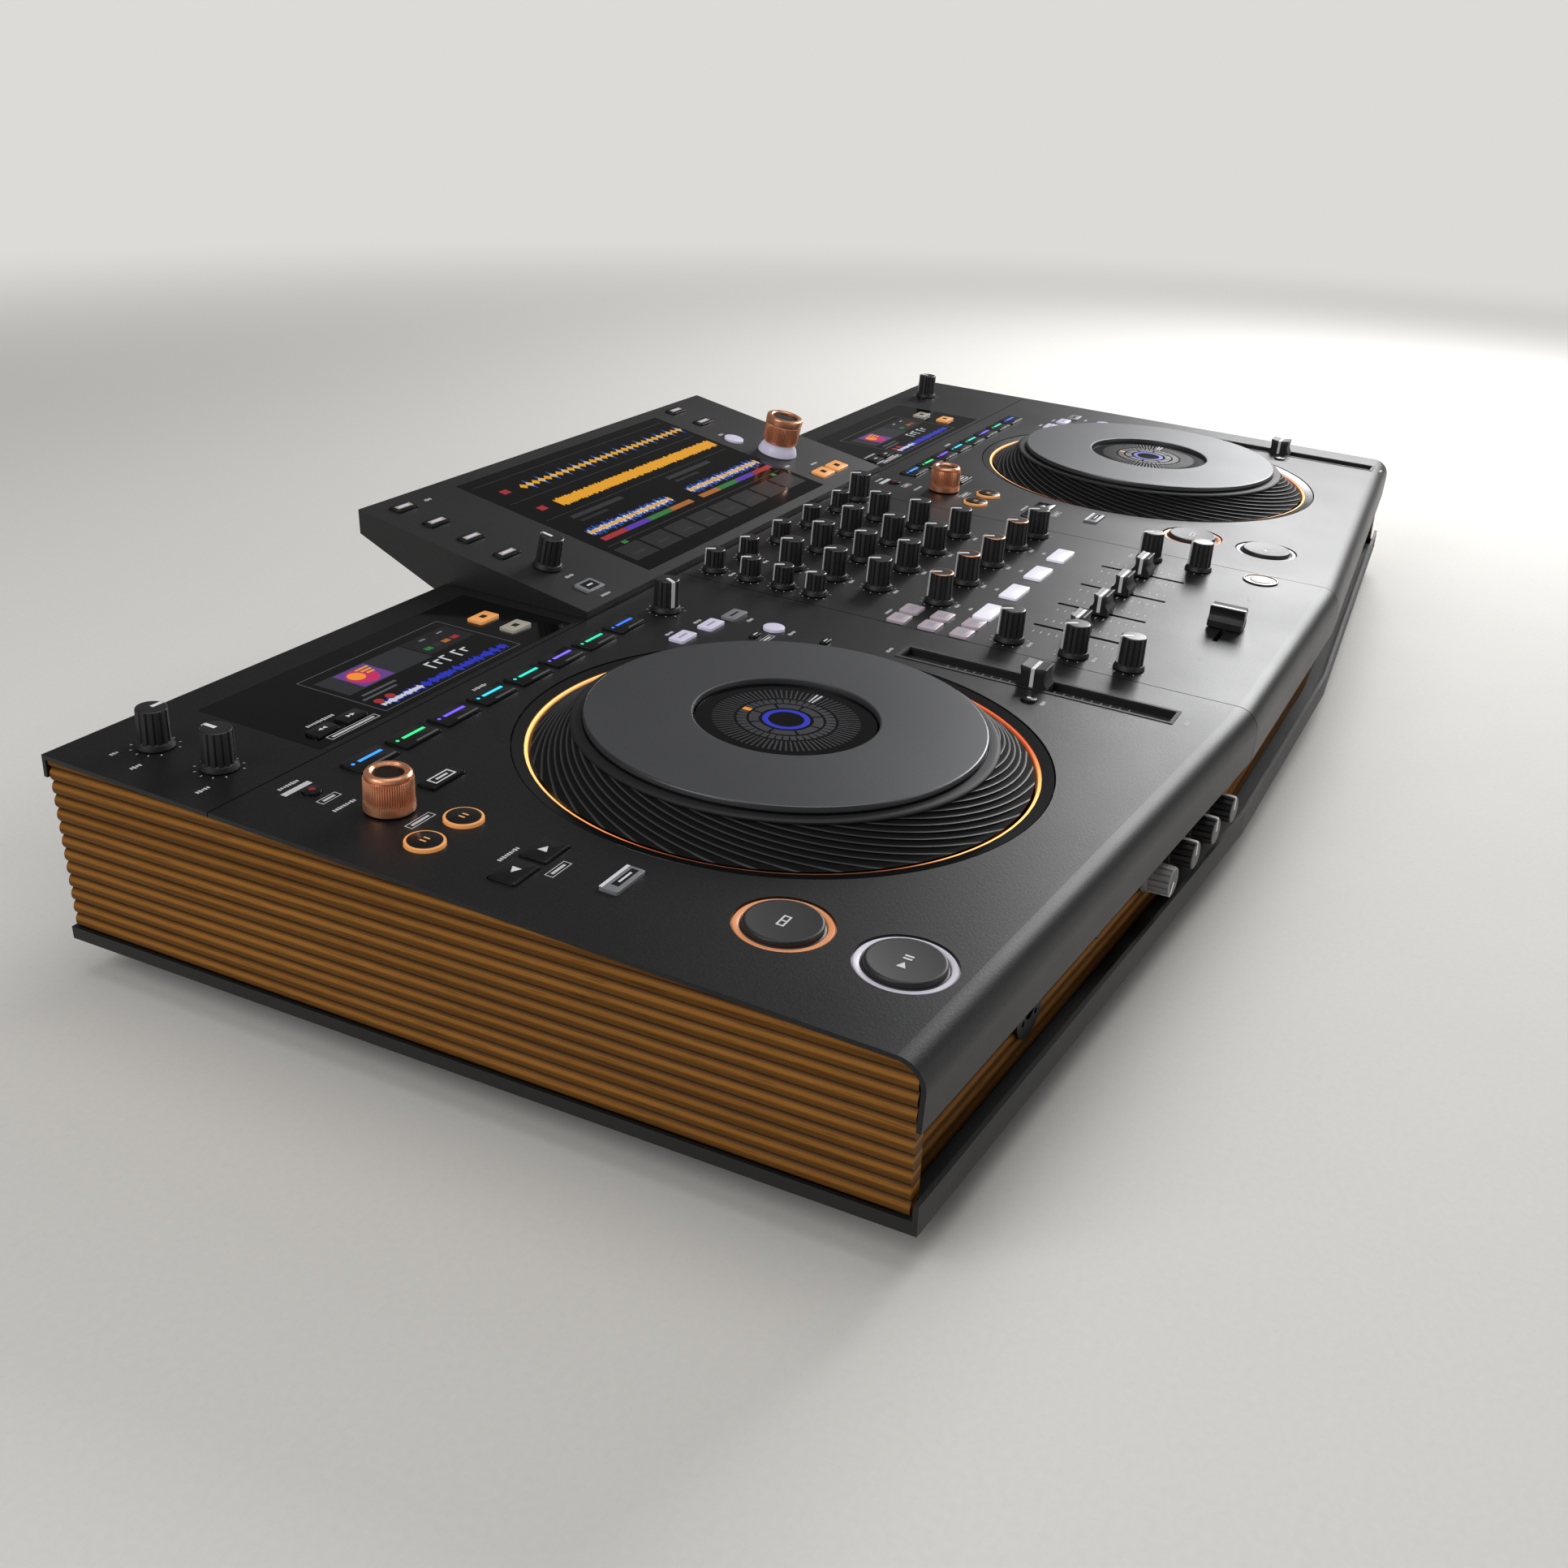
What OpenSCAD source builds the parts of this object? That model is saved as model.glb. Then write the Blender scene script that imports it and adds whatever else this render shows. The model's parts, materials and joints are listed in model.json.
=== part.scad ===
// All-in-one DJ console: two decks with jog wheels, a four-channel mixer between them and a
// tilted touch screen over the rear. X runs to the right, Y to the rear and Z up. The origin
// is under the middle of the console, on the surface that its feet stand on.

/* [Casing] */
// Width over the two decks
body_w = 980.5; // [970:0.5:1000]
// Depth from the mixer's front to the rear of the screen housing
total_d = 499; // [490:1:510]
// Depth of a deck along its outer side
side_d = 411; // [406:1:420]
// How far the mixer's front stands ahead of the front corners
bulge = 27; // [20:1:35]
// Width of the mixer panel
mixer_w = 230; // [228:1:236]
// Height of the feet
foot_h = 18.6; // [14:0.2:24]
// Radius of a foot where it meets the tray
foot_r = 22; // [16:1:26]
// Height of the top plane above the tray's underside at the front corners
front_h = 71; // [68:1:80]
// Rise of the top plane towards the rear, in degrees
deck_slope = 2.66; // [1.5:0.01:4]
// Thickness of the sheet metal
sheet = 2; // [1.5:0.1:2.5]
// Outside radius of the fold along the front edge
fold_r = 12; // [8:0.5:14]
// Depth of the folded front wall below the top plane
wall_drop = 28; // [22:1:32]
// Gap between neighbouring panels
seam = 0.6; // [0.4:0.1:1]
// Distance of the rear strips from the front corners, along the deck
strip_s = 317; // [314:1:320]
// Height of the tray's front lip
tray_lip = 13; // [10:1:16]
// Height of the tray's edge at the sides and rear
tray_edge = 6; // [4:1:8]

/* [Ribbed trim] */
// Thickness of the trim over its ribs
trim_t = 8; // [6:0.5:10]
// Spacing of the ribs
rib_pitch = 6.5; // [5:0.5:8]
// Height of a rib above its grooves
rib_rise = 1.6; // [1:0.1:2]
// How far the trim lies inside the panel's edge at the sides
trim_inset = 1; // [0.5:0.1:2]
// How far the trim lies behind the front wall
front_recess = 12; // [9:0.5:14]

/* [Screen housing] */
// Width of the housing
pod_w = 386; // [378:1:390]
// Middle of the housing, to the right of the mixer's middle
pod_x = -20; // [-24:1:-16]
// Height of its front edge above the decks
pod_rise = 4; // [2:0.5:6]
// Tilt of its face from level, in degrees
pod_tilt = 12.3; // [10:0.1:14]
// Wall of the housing
pod_wall = 3; // [2:0.5:4]
// Thickness of the housing at its rear edge
pod_edge = 14; // [10:1:18]
// Depth of the rear wall's lip below the strips
strip_lip = 11; // [9:0.5:13]
// Width of the touch screen's glass
screen_w = 232; // [222:1:236]
// Depth of the touch screen's glass
screen_d = 140; // [130:1:142]
// Distance of the glass from the housing's front edge
screen_v = 9; // [7:0.5:11]
// Thickness of the touch screen
screen_t = 2.4; // [2:0.1:2.8]

/* [Deck displays] */
// Width of the glass of a deck's display
glass_w = 196; // [190:1:198]
// Depth of the glass
glass_d = 72; // [68:1:74]
// Distance of the glass from the deck's left edge
glass_u = 71; // [70:1:74]
// Distance of the glass behind the strip's front edge
glass_back = 4; // [3:0.5:6]
// Depth of a display module under its glass
lcd_t = 7; // [5:0.5:9]

/* [Jog wheels] */
// Jog wheel's axis from the deck's left edge
jog_u = 196; // [194:0.5:198]
// Jog wheel's axis from the front corner, along the deck
jog_s = 155; // [153:0.5:157]
// Radius of the opening in the deck panel
jog_open_r = 125.5; // [124:0.1:127]
// Radius of the top plate
plate_r = 93; // [90:0.5:94]
// Height of the plate's face above the deck
plate_top = 15.4; // [14:0.2:17]
// Thickness of the plate
plate_t = 3; // [2:0.2:3.6]
// Radius of the hole in the plate
hole_r = 43.2; // [42:0.2:46]
// Radius of the skirt at its base
skirt_r = 116; // [114:0.5:117]
// Radius of the skirt at its top
skirt_top_r = 97.5; // [96:0.5:99]
// Wall of the skirt
skirt_wall = 2.6; // [2:0.2:3]
// Number of swirled ribs on the skirt
swirl_count = 42; // [30:1:60]
// Height of a swirled rib
swirl_rise = 1.4; // [0.8:0.1:1.8]
// Turn of a rib from top to base, in degrees
swirl_turn = 57; // [30:1:70]
// Radius of the fixed post that the wheel turns on
post_r = 40; // [38:0.5:41]
// Depth of the housing under the deck
dish_d = 36; // [34:1:40]

/* [Knobs] */
// Radius of a shaft
shaft_r = 3; // [2.5:0.1:3.2]
// Radius of a tall knob
knob_r = 7.2; // [6.5:0.1:7.6]
// Height of a tall knob
knob_h = 18; // [16:0.5:20]
// Radius of a small knob
small_knob_r = 6; // [5:0.1:6.4]
// Height of a small knob
small_knob_h = 13; // [11:0.5:15]
// Length of a knob on the front face
front_knob_h = 13; // [11:0.5:14]
// Radius of a loop knob
loop_r = 11.5; // [10:0.5:12]
// Height of a loop knob
loop_h = 17.5; // [16:0.5:20]
// Radius of the selector
selector_r = 13; // [12:0.5:14]
// Height of the selector
selector_h = 27; // [24:0.5:28]

/* [Buttons] */
// Radius of the cue and play buttons
cue_r = 16.6; // [15:0.2:17]
// Width of the light ring round them
ring_w = 2.8; // [2:0.2:3]
// Travel of the cue and play buttons
cue_travel = 2; // [1:0.2:2.4]
// Height of a key above its panel
key_rise = 1.4; // [1:0.1:2]
// Gap round a key
key_gap = 0.4; // [0.3:0.05:0.6]
// Width of a pad
pad_w = 25; // [22:0.5:26]
// Depth of a pad
pad_d = 13; // [11:0.5:14]
// Spacing of the pads
pad_pitch = 29.5; // [29:0.5:31]

/* [Faders] */
// Travel of a tempo fader
tempo_travel = 100; // [90:1:104]
// Travel of a channel fader or the crossfader
fader_travel = 45; // [40:1:46]
// Width of the slot that a stem runs in
slot_w = 3; // [2.6:0.1:3.4]
// Width of a fader's cap across its travel
cap_w = 16; // [13:0.5:17]
// Length of a fader's cap along its travel
cap_l = 11; // [9:0.5:12]
// Height of a fader's cap
cap_h = 12; // [10:0.5:14]
// Width of the trough that a tempo fader runs in
trough_w = 18; // [17.6:0.2:18.4]
// Depth of that trough
trough_d = 5; // [4:0.5:6]

/* [Mixer] */
// Spacing of the channels
channel_pitch = 43; // [40:0.5:43]
// Outer columns of controls, from the mixer's middle
column_x = 98; // [96:0.5:100]
// Row of trim knobs, from the front corners along the panel
trim_s = 298; // [296:1:299]
// Row of high knobs
high_s = 269; // [267:1:271]
// Row of mid knobs
mid_s = 240; // [238:1:242]
// Row of low knobs
low_s = 211; // [209:1:213]
// Row of filter knobs
filter_s = 172; // [170:1:175]
// Row of channel cue keys
cue_row_s = 141; // [139:1:143]
// Middle of the channel faders
fader_s = 87; // [86:1:90]
// Crossfader
cross_s = 19; // [17:1:21]

/* [Inside] */
// Depth of the boards' faces under the panels
board_h = 13; // [12:0.5:15]
// Thickness of a board
board_t = 1.6; // [1:0.2:2]
// Side of a potentiometer's case
pot_w = 11; // [9.5:0.5:12]
// Radius of a potentiometer's bush
bush_r = 4.2; // [4:0.1:4.6]
// Running gap of a shaft in its bush
run_gap = 0.05; // [0.03:0.01:0.1]

/* [Hidden] */
$fn = 96;

LEFT = -1;
RIGHT = 1;
black = "#17181a";
panel_grey = "#3a3a3c";
wood = "#8a5a26";
copper = "#b8785a";
key_white = "#d8d4da";
board_green = "#1f4a36";
steel = "#9a9ca0";

// Main places, worked out from the casing's sizes
deck_w = (body_w - mixer_w) / 2;
y_front = bulge - total_d / 2;
y_rear = y_front + side_d;
y_mixer = -total_d / 2;
z_front = foot_h + front_h;
slope_sin = sin(deck_slope);
slope_cos = cos(deck_slope);
bulge_s = bulge / slope_cos;
rear_s = side_d / slope_cos;
front_angle = atan(bulge / deck_w);
front_run = sqrt(bulge * bulge + deck_w * deck_w);
z_rear_top = z_front + rear_s * slope_sin;
z_rear_low = z_rear_top - strip_lip;
pod_left = pod_x - pod_w / 2;
pod_right = pod_x + pod_w / 2;
y_pod = y_front + strip_s * slope_cos - pod_rise * slope_sin;
z_pod = z_front + strip_s * slope_sin + pod_rise * slope_cos;
pod_len = (total_d / 2 - y_pod) / cos(pod_tilt);
left_strip_end = pod_left - seam + body_w / 2;
right_strip_start = pod_right + seam - mixer_w / 2;
joint_gap = 0.3;
fit_gap = 0.2;

// Light rings and jog wheel
rim_gap = 0.3;
rim_flange = 3;
rim_t = 2;
light_w = 2;
light_gap = 1;
light_in_r = skirt_r + light_gap;
rim_in_r = light_in_r + light_w + fit_gap;
dish_in_r = jog_open_r - rim_gap - 0.7;
dish_out_r = jog_open_r + rim_flange;
skirt_low = -2;
skirt_high = plate_top - plate_t - 0.6;
web_t = 3.5;
web_r = skirt_top_r - skirt_wall - swirl_rise - fit_gap;
sleeve_wall = 6;
sleeve_low = 12 - dish_d;
lens_r = hole_r - 0.6;
lens_low = 8;
lens_high = plate_top - 2.4;

// Controls
knob_lift = 0.6;
skirt_edge = 1.3;
hole_gap = 0.4;
pot_h = 8;
shaft_len = board_h - 2;
fader_body_w = 13;
fader_body_l = fader_travel + 26;
stem_l = 6;
stem_t = slot_w - 1;
stem_low = board_h - 2;
tempo_l = tempo_travel + 50;
tempo_u = deck_w - 35;
tempo_s = 83;
slot_l = fader_travel + stem_l + 2;
column_key_d = 11;
key_r = 1.2;
key_flange = 1;
key_flange_t = 1.4;
button_low = 6.5;

// Controls of a deck: distance from its left edge and from the front corner
cue_at = [54, 82];
play_at = [54, 32];
loop_at = [44, 260];
corner_knob_at = [316, 291];
pad_first = [75, 296.5];
// Rectangular keys of a deck: place, width and depth
deck_keys = [
  [29, 187, 18, 13], [50, 187, 18, 13], [78, 260, 22, 9], [47, 149, 21, 9],
  [285, 262, 16, 9], [310, 259, 16, 9], [331, 256, 16, 9], [311, 232, 8, 4], [326, 197, 8, 4]];
// Round keys of a deck: place and radius
deck_round_keys = [[29, 230, 8.5], [54, 230, 8.5], [38, 296, 4], [327, 229, 6], [317, 78, 4]];
// Keys in the glass of a deck's display
glass_keys = [[86, 333, 15, 8], [105, 333, 15, 8], [244, 362, 16, 10], [244, 341, 16, 10]];
// Knobs on the rear strips
strip_knobs = [[33.5, 343], [33.5, 380]];
right_strip_knob = [315, 388];

// Controls of the mixer: distance from its middle and from the front corners
channel_xs = [for (i = [0:3]) (i - 1.5) * channel_pitch];
column_small = [for (s = [303, 279, 257, 236]) [-column_x, s]];
column_tall = [for (s = [116, 79, 48]) [-column_x, s]];
right_column = [for (s = [299, 169, 92, 60]) [column_x, s]];
effect_keys = [for (x = [-8, 10]) for (s = [179, 160, 141]) [x - column_x, s]];
effect_key_w = 14;
cue_key_w = 26;

// Controls of the screen housing: distance from its left edge and its front edge
screen_right = (pod_w + screen_w) / 2;
left_pod_keys = [for (v = [146, 122, 97, 72]) [24, v, 17, 8]];
right_pod_keys = [for (v = [148, 124]) [screen_right + 27, v, 17, 8]];
framed_key = [28, 18, 16, 11];
orange_keys = [for (x = [21, 43]) [screen_right + x, 20, 18, 11]];
round_pod_key = [screen_right + 17, 92, 7];
pod_knob_at = [30, 48];
selector_at = [screen_right + 25, 60];

// Front controls: distance along the left front edge, and their height above the tray
front_axis = 27;
front_knobs = [for (back = [123, 91, 60, 31]) front_run - back];
combo_along = 116;
switch_along = 189;
phones_along = [150, 186];
switch_r = 2.8;
combo_r = 10.5;
combo_bore_r = 4.2;
phones_bores = [3.2, 1.8];

// Rear sockets: distance from the middle, as seen from the front
rear_axis = 36;
xlr_x = [150, 190];
jack_x = [230, 256];
phono_x = [-40, -10, 60];
phono_rows = [-9, 9];
network_x = -120;
usb_x = -150;
inlet_x = body_w / 2 - 70;
rocker_x = body_w / 2 - 120;
socket_floor = 2;
flange_t = 1.6;
xlr_r = 9.2;
xlr_wall = 1.5;
xlr_d = 17.5;
xlr_mouth = 5;
xlr_step = 0.7;
jack_r = 3.2;
jack_d = 26;
phono_r = 4.1;
phono_l = 9;
inlet = [24, 16, 15];
blade_w = 2;
blade_h = 6;
blade_l = 10;
network = [12, 9, 14];
usb = [9, 8.4, 12];
rocker = [13, 19, 12];

// Frames that the pieces are placed in
module deck_frame() {
  translate([0, y_front, z_front]) rotate([deck_slope, 0, 0]) children();
}

module deck(side) {
  deck_frame() translate([side == LEFT ? -body_w / 2 : mixer_w / 2, 0, 0]) children();
}

module jog_frame(side) {
  deck(side) translate([jog_u, jog_s, 0]) children();
}

module pod_frame() {
  translate([pod_left, y_pod, z_pod]) rotate([pod_tilt, 0, 0]) children();
}

module front_left() {
  translate([-body_w / 2, y_front, 0]) rotate([0, 0, -front_angle]) children();
}

module front_middle() {
  translate([-mixer_w / 2, y_mixer, 0]) children();
}

module front_right() {
  translate([mixer_w / 2, y_mixer, 0]) rotate([0, 0, front_angle]) children();
}

// A point on the front trim's face, with its Z axis pointing out of the front
module front_face(along) {
  translate([along, front_recess, foot_h + front_axis]) rotate([90, 0, 0]) children();
}

// A point on the rear panel's face, with its Z axis pointing out of the rear
module rear_face(x, up = rear_axis) {
  translate([x, y_rear, foot_h + up]) rotate([-90, 0, 0]) children();
}

// Runs a section along X: the section's X becomes Y, and its Y becomes Z
module run_along(length) {
  rotate([90, 0, 90]) linear_extrude(length) children();
}

// Small shared shapes
module soft_square(w, d, r = key_r) {
  square([w - 2 * r, d], center = true);
  square([w, d - 2 * r], center = true);
  for (x = [-1, 1]) for (y = [-1, 1]) translate([x * (w / 2 - r), y * (d / 2 - r)]) circle(r);
}

module key_hole(w, d) {
  translate([0, 0, -3 * pod_wall]) linear_extrude(6 * pod_wall)
    soft_square(w + 2 * key_gap, d + 2 * key_gap, key_r + key_gap);
}

module round_hole(r) {
  translate([0, 0, -3 * pod_wall]) cylinder(r = r, h = 6 * pod_wall);
}

module key(w, d, under = sheet) {
  low = under + joint_gap + key_flange_t;
  translate([0, 0, -low]) linear_extrude(low + key_rise) soft_square(w, d);
  translate([0, 0, -low]) linear_extrude(key_flange_t)
    soft_square(w + 2 * key_flange, d + 2 * key_flange);
}

module round_key(r, under = sheet) {
  low = under + joint_gap + key_flange_t;
  translate([0, 0, -low]) cylinder(r = r, h = low + key_rise - 0.5);
  translate([0, 0, key_rise - 0.5]) cylinder(r1 = r, r2 = r - 0.5, h = 0.5);
  translate([0, 0, -low]) cylinder(r = r + key_flange, h = key_flange_t);
}

// Fluted knob with a skirt, a pointer groove and its shaft
module knob(r, h, under = sheet) {
  flutes = 14;
  flute_r = 0.8;
  foot = 2.4;
  groove_w = 1.2;
  groove_d = 0.5;
  translate([0, 0, knob_lift]) {
    cylinder(r1 = r + skirt_edge, r2 = r + 0.3, h = foot);
    difference() {
      translate([0, 0, foot]) linear_extrude(h - foot) difference() {
        circle(r);
        for (i = [0:flutes - 1]) rotate((i + 0.5) * 360 / flutes) translate([r + 0.3, 0]) circle(flute_r);
      }
      translate([-groove_w / 2, 0, h - groove_d]) cube([groove_w, r + 1, 1]);
      translate([-groove_w / 2, r - groove_d, foot + 1]) cube([groove_w, r, h]);
    }
  }
  translate([0, 0, sheet - under - shaft_len]) cylinder(r = shaft_r, h = shaft_len + under + knob_lift);
}

// Knurled knob with a dished top and its shaft
module knurled_knob(r, h, dish_r, dish_deep, base_h = 0, under = sheet) {
  knurls = 40;
  difference() {
    translate([0, 0, knob_lift + base_h]) rotate_extrude() polygon([
      [0, 0], [r - 1.2, 0], [r - 1.2, 1.6], [r, 2.4], [r, h - base_h - 1], [r - 1, h - base_h],
      [dish_r + 0.8, h - base_h], [dish_r, h - base_h - 0.8], [dish_r, h - base_h - dish_deep],
      [0, h - base_h - dish_deep]]);
    for (i = [0:knurls - 1]) rotate([0, 0, i * 360 / knurls])
      translate([r + 0.25, 0, knob_lift + base_h + 2.8]) cylinder(r = 0.6, h = h - base_h - 4.4, $fn = 16);
  }
  translate([0, 0, sheet - under - shaft_len])
    cylinder(r = shaft_r, h = shaft_len + under + knob_lift + base_h);
}

// Potentiometer or encoder under a panel: square case, round bush and a blind bore for the shaft
module pot(under = sheet) {
  case_top = -board_h + pot_h - (under - sheet);
  difference() {
    union() {
      translate([-pot_w / 2, -pot_w / 2, case_top - pot_h]) cube([pot_w, pot_w, pot_h]);
      translate([0, 0, case_top]) cylinder(r = bush_r, h = -case_top - 0.4);
    }
    translate([0, 0, case_top - pot_h + 1]) cylinder(r = shaft_r + run_gap, h = board_h + under);
  }
}

module pot_hole() {
  round_hole(bush_r + hole_gap);
}

// Straight slot for a fader's stem, along Y
module slot_cut(length) {
  translate([-slot_w / 2, -length / 2, -3 * pod_wall]) cube([slot_w, length, 6 * pod_wall]);
}

// Fader unit under a panel, along Y, with the channel that its stem runs in
module fader_unit() {
  top = -sheet - 1;
  difference() {
    translate([-fader_body_w / 2, -fader_body_l / 2, -board_h])
      cube([fader_body_w, fader_body_l, board_h + top]);
    translate([-slot_w / 2, -slot_l / 2, -board_h + 1]) cube([slot_w, slot_l, board_h]);
  }
  for (end = [-1, 1]) translate([0, end * (fader_body_l / 2 - 4), top])
    cylinder(r = 2.5, h = -sheet - top);
}

// Tempo fader's unit with the trough that fills the panel's cut-out
module tempo_unit() {
  wall = 1.4;
  w = trough_w - 2 * fit_gap;
  l = tempo_l - 2 * fit_gap;
  difference() {
    translate([-w / 2, -l / 2, -board_h]) cube([w, l, board_h]);
    translate([-w / 2 + wall, -l / 2 + wall, -trough_d]) cube([w - 2 * wall, l - 2 * wall, board_h]);
    translate([-slot_w / 2, -(tempo_travel + stem_l + 2) / 2, -board_h + 1])
      cube([slot_w, tempo_travel + stem_l + 2, board_h]);
  }
}

// Fader cap with a waisted grip, along Y, and its stem
module fader_cap(lift, w = cap_w, l = cap_l, h = cap_h) {
  translate([-w / 2, 0, lift]) rotate([90, 0, 90]) linear_extrude(w) polygon([
    [-l / 2, 0], [l / 2, 0], [l / 2, h * 0.3], [l / 2 - 2.2, h * 0.62], [l / 2 - 1.4, h],
    [0.6, h - 0.8], [-0.6, h - 0.8], [1.4 - l / 2, h], [2.2 - l / 2, h * 0.62], [-l / 2, h * 0.3]]);
  translate([-stem_t / 2, -stem_l / 2, -stem_low]) cube([stem_t, stem_l, stem_low + lift + 1]);
}

// Casing
module plan_outline(inset) {
  half = body_w / 2 - inset;
  polygon([
    [-half, y_rear - inset], [-half, y_front + inset], [-mixer_w / 2, y_mixer + inset],
    [mixer_w / 2, y_mixer + inset], [half, y_front + inset], [half, y_rear - inset]]);
}

module bottom_tray() {
  color(black) difference() {
    translate([0, 0, foot_h]) linear_extrude(tray_lip) plan_outline(0);
    translate([0, 0, foot_h + sheet]) linear_extrude(tray_lip) plan_outline(sheet);
    translate([-body_w, y_front + sheet + fit_gap, foot_h + tray_edge]) cube([2 * body_w, total_d, tray_lip]);
  }
}

module panel_section() {
  reach = rear_s + bulge;
  translate([fold_r, -sheet]) square([reach, sheet]);
  translate([0, -wall_drop]) square([sheet, wall_drop - fold_r]);
  intersection() {
    translate([fold_r, -fold_r]) difference() {
      circle(fold_r);
      circle(fold_r - sheet);
    }
    translate([0, -fold_r]) square([fold_r, fold_r]);
  }
}

// Top panel with its folded front, between two seams, in the panel's own frame
module folded_panel(width, start_s, angle) {
  run = width + 4 * fold_r;
  intersection() {
    translate([0, start_s, 0]) rotate([0, 0, angle]) translate([-2 * fold_r, 0, 0])
      run_along(run) panel_section();
    translate([seam / 2, -bulge_s - 1, -wall_drop - 1])
      cube([width - seam, strip_s + bulge_s + 1 - seam / 2, wall_drop + 2]);
  }
}

module deck_holes() {
  translate([jog_u, jog_s, 0]) round_hole(jog_open_r);
  translate([tempo_u - trough_w / 2, tempo_s - tempo_l / 2, -sheet - 1])
    cube([trough_w, tempo_l, sheet + 2]);
  for (at = [cue_at, play_at]) translate(at) round_hole(cue_r + ring_w + 2 * hole_gap);
  translate(loop_at) pot_hole();
  for (i = [0:7]) translate([pad_first[0] + i * pad_pitch, pad_first[1], 0]) key_hole(pad_w, pad_d);
  for (k = deck_keys) translate([k[0], k[1], 0]) key_hole(k[2], k[3]);
  for (k = deck_round_keys) translate([k[0], k[1], 0]) round_hole(k[2] + key_gap);
}

module left_deck_panel() {
  color(panel_grey) deck(LEFT) difference() {
    folded_panel(deck_w, 0, -front_angle);
    deck_holes();
    translate(corner_knob_at) pot_hole();
  }
}

module right_deck_panel() {
  color(panel_grey) deck(RIGHT) difference() {
    folded_panel(deck_w, -bulge_s, front_angle);
    deck_holes();
  }
}

module mixer_pots() {
  for (x = channel_xs) for (s = [trim_s, high_s, mid_s, low_s, filter_s]) translate([x, s, 0]) children();
  for (at = concat(column_small, column_tall, right_column)) translate(at) children();
}

module mixer_panel() {
  color(panel_grey) deck_frame() difference() {
    translate([-mixer_w / 2, 0, 0]) folded_panel(mixer_w, -bulge_s, 0);
    mixer_pots() pot_hole();
    for (x = channel_xs) {
      translate([x, fader_s, 0]) slot_cut(slot_l);
      translate([x, cue_row_s, 0]) key_hole(cue_key_w, column_key_d);
    }
    translate([0, cross_s, 0]) rotate([0, 0, 90]) slot_cut(slot_l);
    for (at = effect_keys) translate(at) key_hole(effect_key_w, column_key_d);
  }
}

module strip_plate(start_u, end_u) {
  translate([start_u + seam / 2, strip_s + seam / 2, -sheet])
    cube([end_u - start_u - seam, rear_s - strip_s - seam / 2, sheet]);
  translate([start_u + seam / 2, rear_s - sheet, -strip_lip + seam])
    cube([end_u - start_u - seam, sheet, strip_lip - seam]);
}

module glass_cut() {
  translate([glass_u - fit_gap, strip_s + glass_back - fit_gap, -sheet - 1])
    cube([glass_w + 2 * fit_gap, glass_d + 2 * fit_gap, sheet + 2]);
}

module rear_strips() {
  color(panel_grey) {
    deck(LEFT) difference() {
      strip_plate(0, left_strip_end);
      glass_cut();
      for (at = strip_knobs) translate(at) pot_hole();
    }
    deck(RIGHT) difference() {
      strip_plate(right_strip_start, deck_w);
      glass_cut();
      translate(right_strip_knob) pot_hole();
    }
  }
}

// Ribbed board section: its back at X = 0, crowned ribs towards +X, rising along Y
module rib_section(height, thick) {
  facets = 8;
  last = ceil(height / rib_pitch) * facets;
  function crown(k) = let (t = 2 * (k % facets) / facets - 1) thick - rib_rise * pow(abs(t), 2.5);
  intersection() {
    square([thick, height]);
    polygon(concat(
      [for (k = [0:last]) [crown(k), k * rib_pitch / facets]],
      [[0, last * rib_pitch / facets], [0, 0]]));
  }
}

// What lies between a panel's fold and the room inside it, along X
module fold_corner(length) {
  inner_r = fold_r - sheet - fit_gap;
  run_along(length) difference() {
    translate([-fold_r, -fold_r]) square(2 * fold_r);
    translate([fold_r, -fold_r]) circle(inner_r);
  }
}

module side_trim() {
  height = front_h + side_d * tan(deck_slope);
  wall_lean = wall_drop * slope_sin;
  length = side_d - 2 * sheet - wall_lean - 3 * fit_gap;
  difference() {
    translate([body_w / 2 - trim_inset - trim_t, y_rear - sheet - fit_gap, foot_h + tray_edge])
      rotate([90, 0, 0]) linear_extrude(length) rib_section(height, trim_t);
    deck_frame() translate([0, -fold_r, -sheet]) cube([body_w, rear_s + 2 * fold_r, front_h]);
    deck_frame() fold_corner(body_w);
  }
}

module side_trims() {
  color(wood) {
    side_trim();
    mirror([1, 0, 0]) side_trim();
  }
}

module front_run_section(length) {
  height = front_h - fold_r - sheet - 2;
  translate([0, front_recess + trim_t, foot_h + sheet]) rotate([90, 0, 90]) linear_extrude(length)
    mirror([1, 0]) rib_section(height, trim_t);
}

module front_trim() {
  inner_half = body_w / 2 - trim_inset - trim_t - fit_gap;
  color(wood) difference() {
    union() {
      intersection() {
        front_left() front_run_section(front_run + 2 * fold_r);
        translate([-inner_half, y_mixer, 0]) cube([inner_half - mixer_w / 2, total_d, z_front]);
      }
      intersection() {
        front_right() translate([-2 * fold_r, 0, 0]) front_run_section(front_run + 2 * fold_r);
        translate([mixer_w / 2, y_mixer, 0]) cube([inner_half - mixer_w / 2, total_d, z_front]);
      }
      front_middle() front_run_section(mixer_w);
    }
    for (x = front_knobs) front_left() front_face(x) front_hole(bush_r + hole_gap);
    front_left() front_face(combo_along) front_hole(combo_r + hole_gap);
    front_left() front_face(switch_along) front_hole(switch_r + fit_gap);
    for (i = [0, 1]) front_right() front_face(phones_along[i]) front_hole(phones_bores[i] + 2 + hole_gap);
  }
}

module front_hole(r) {
  translate([0, 0, -2 * trim_t]) cylinder(r = r, h = 3 * trim_t);
}

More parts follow.
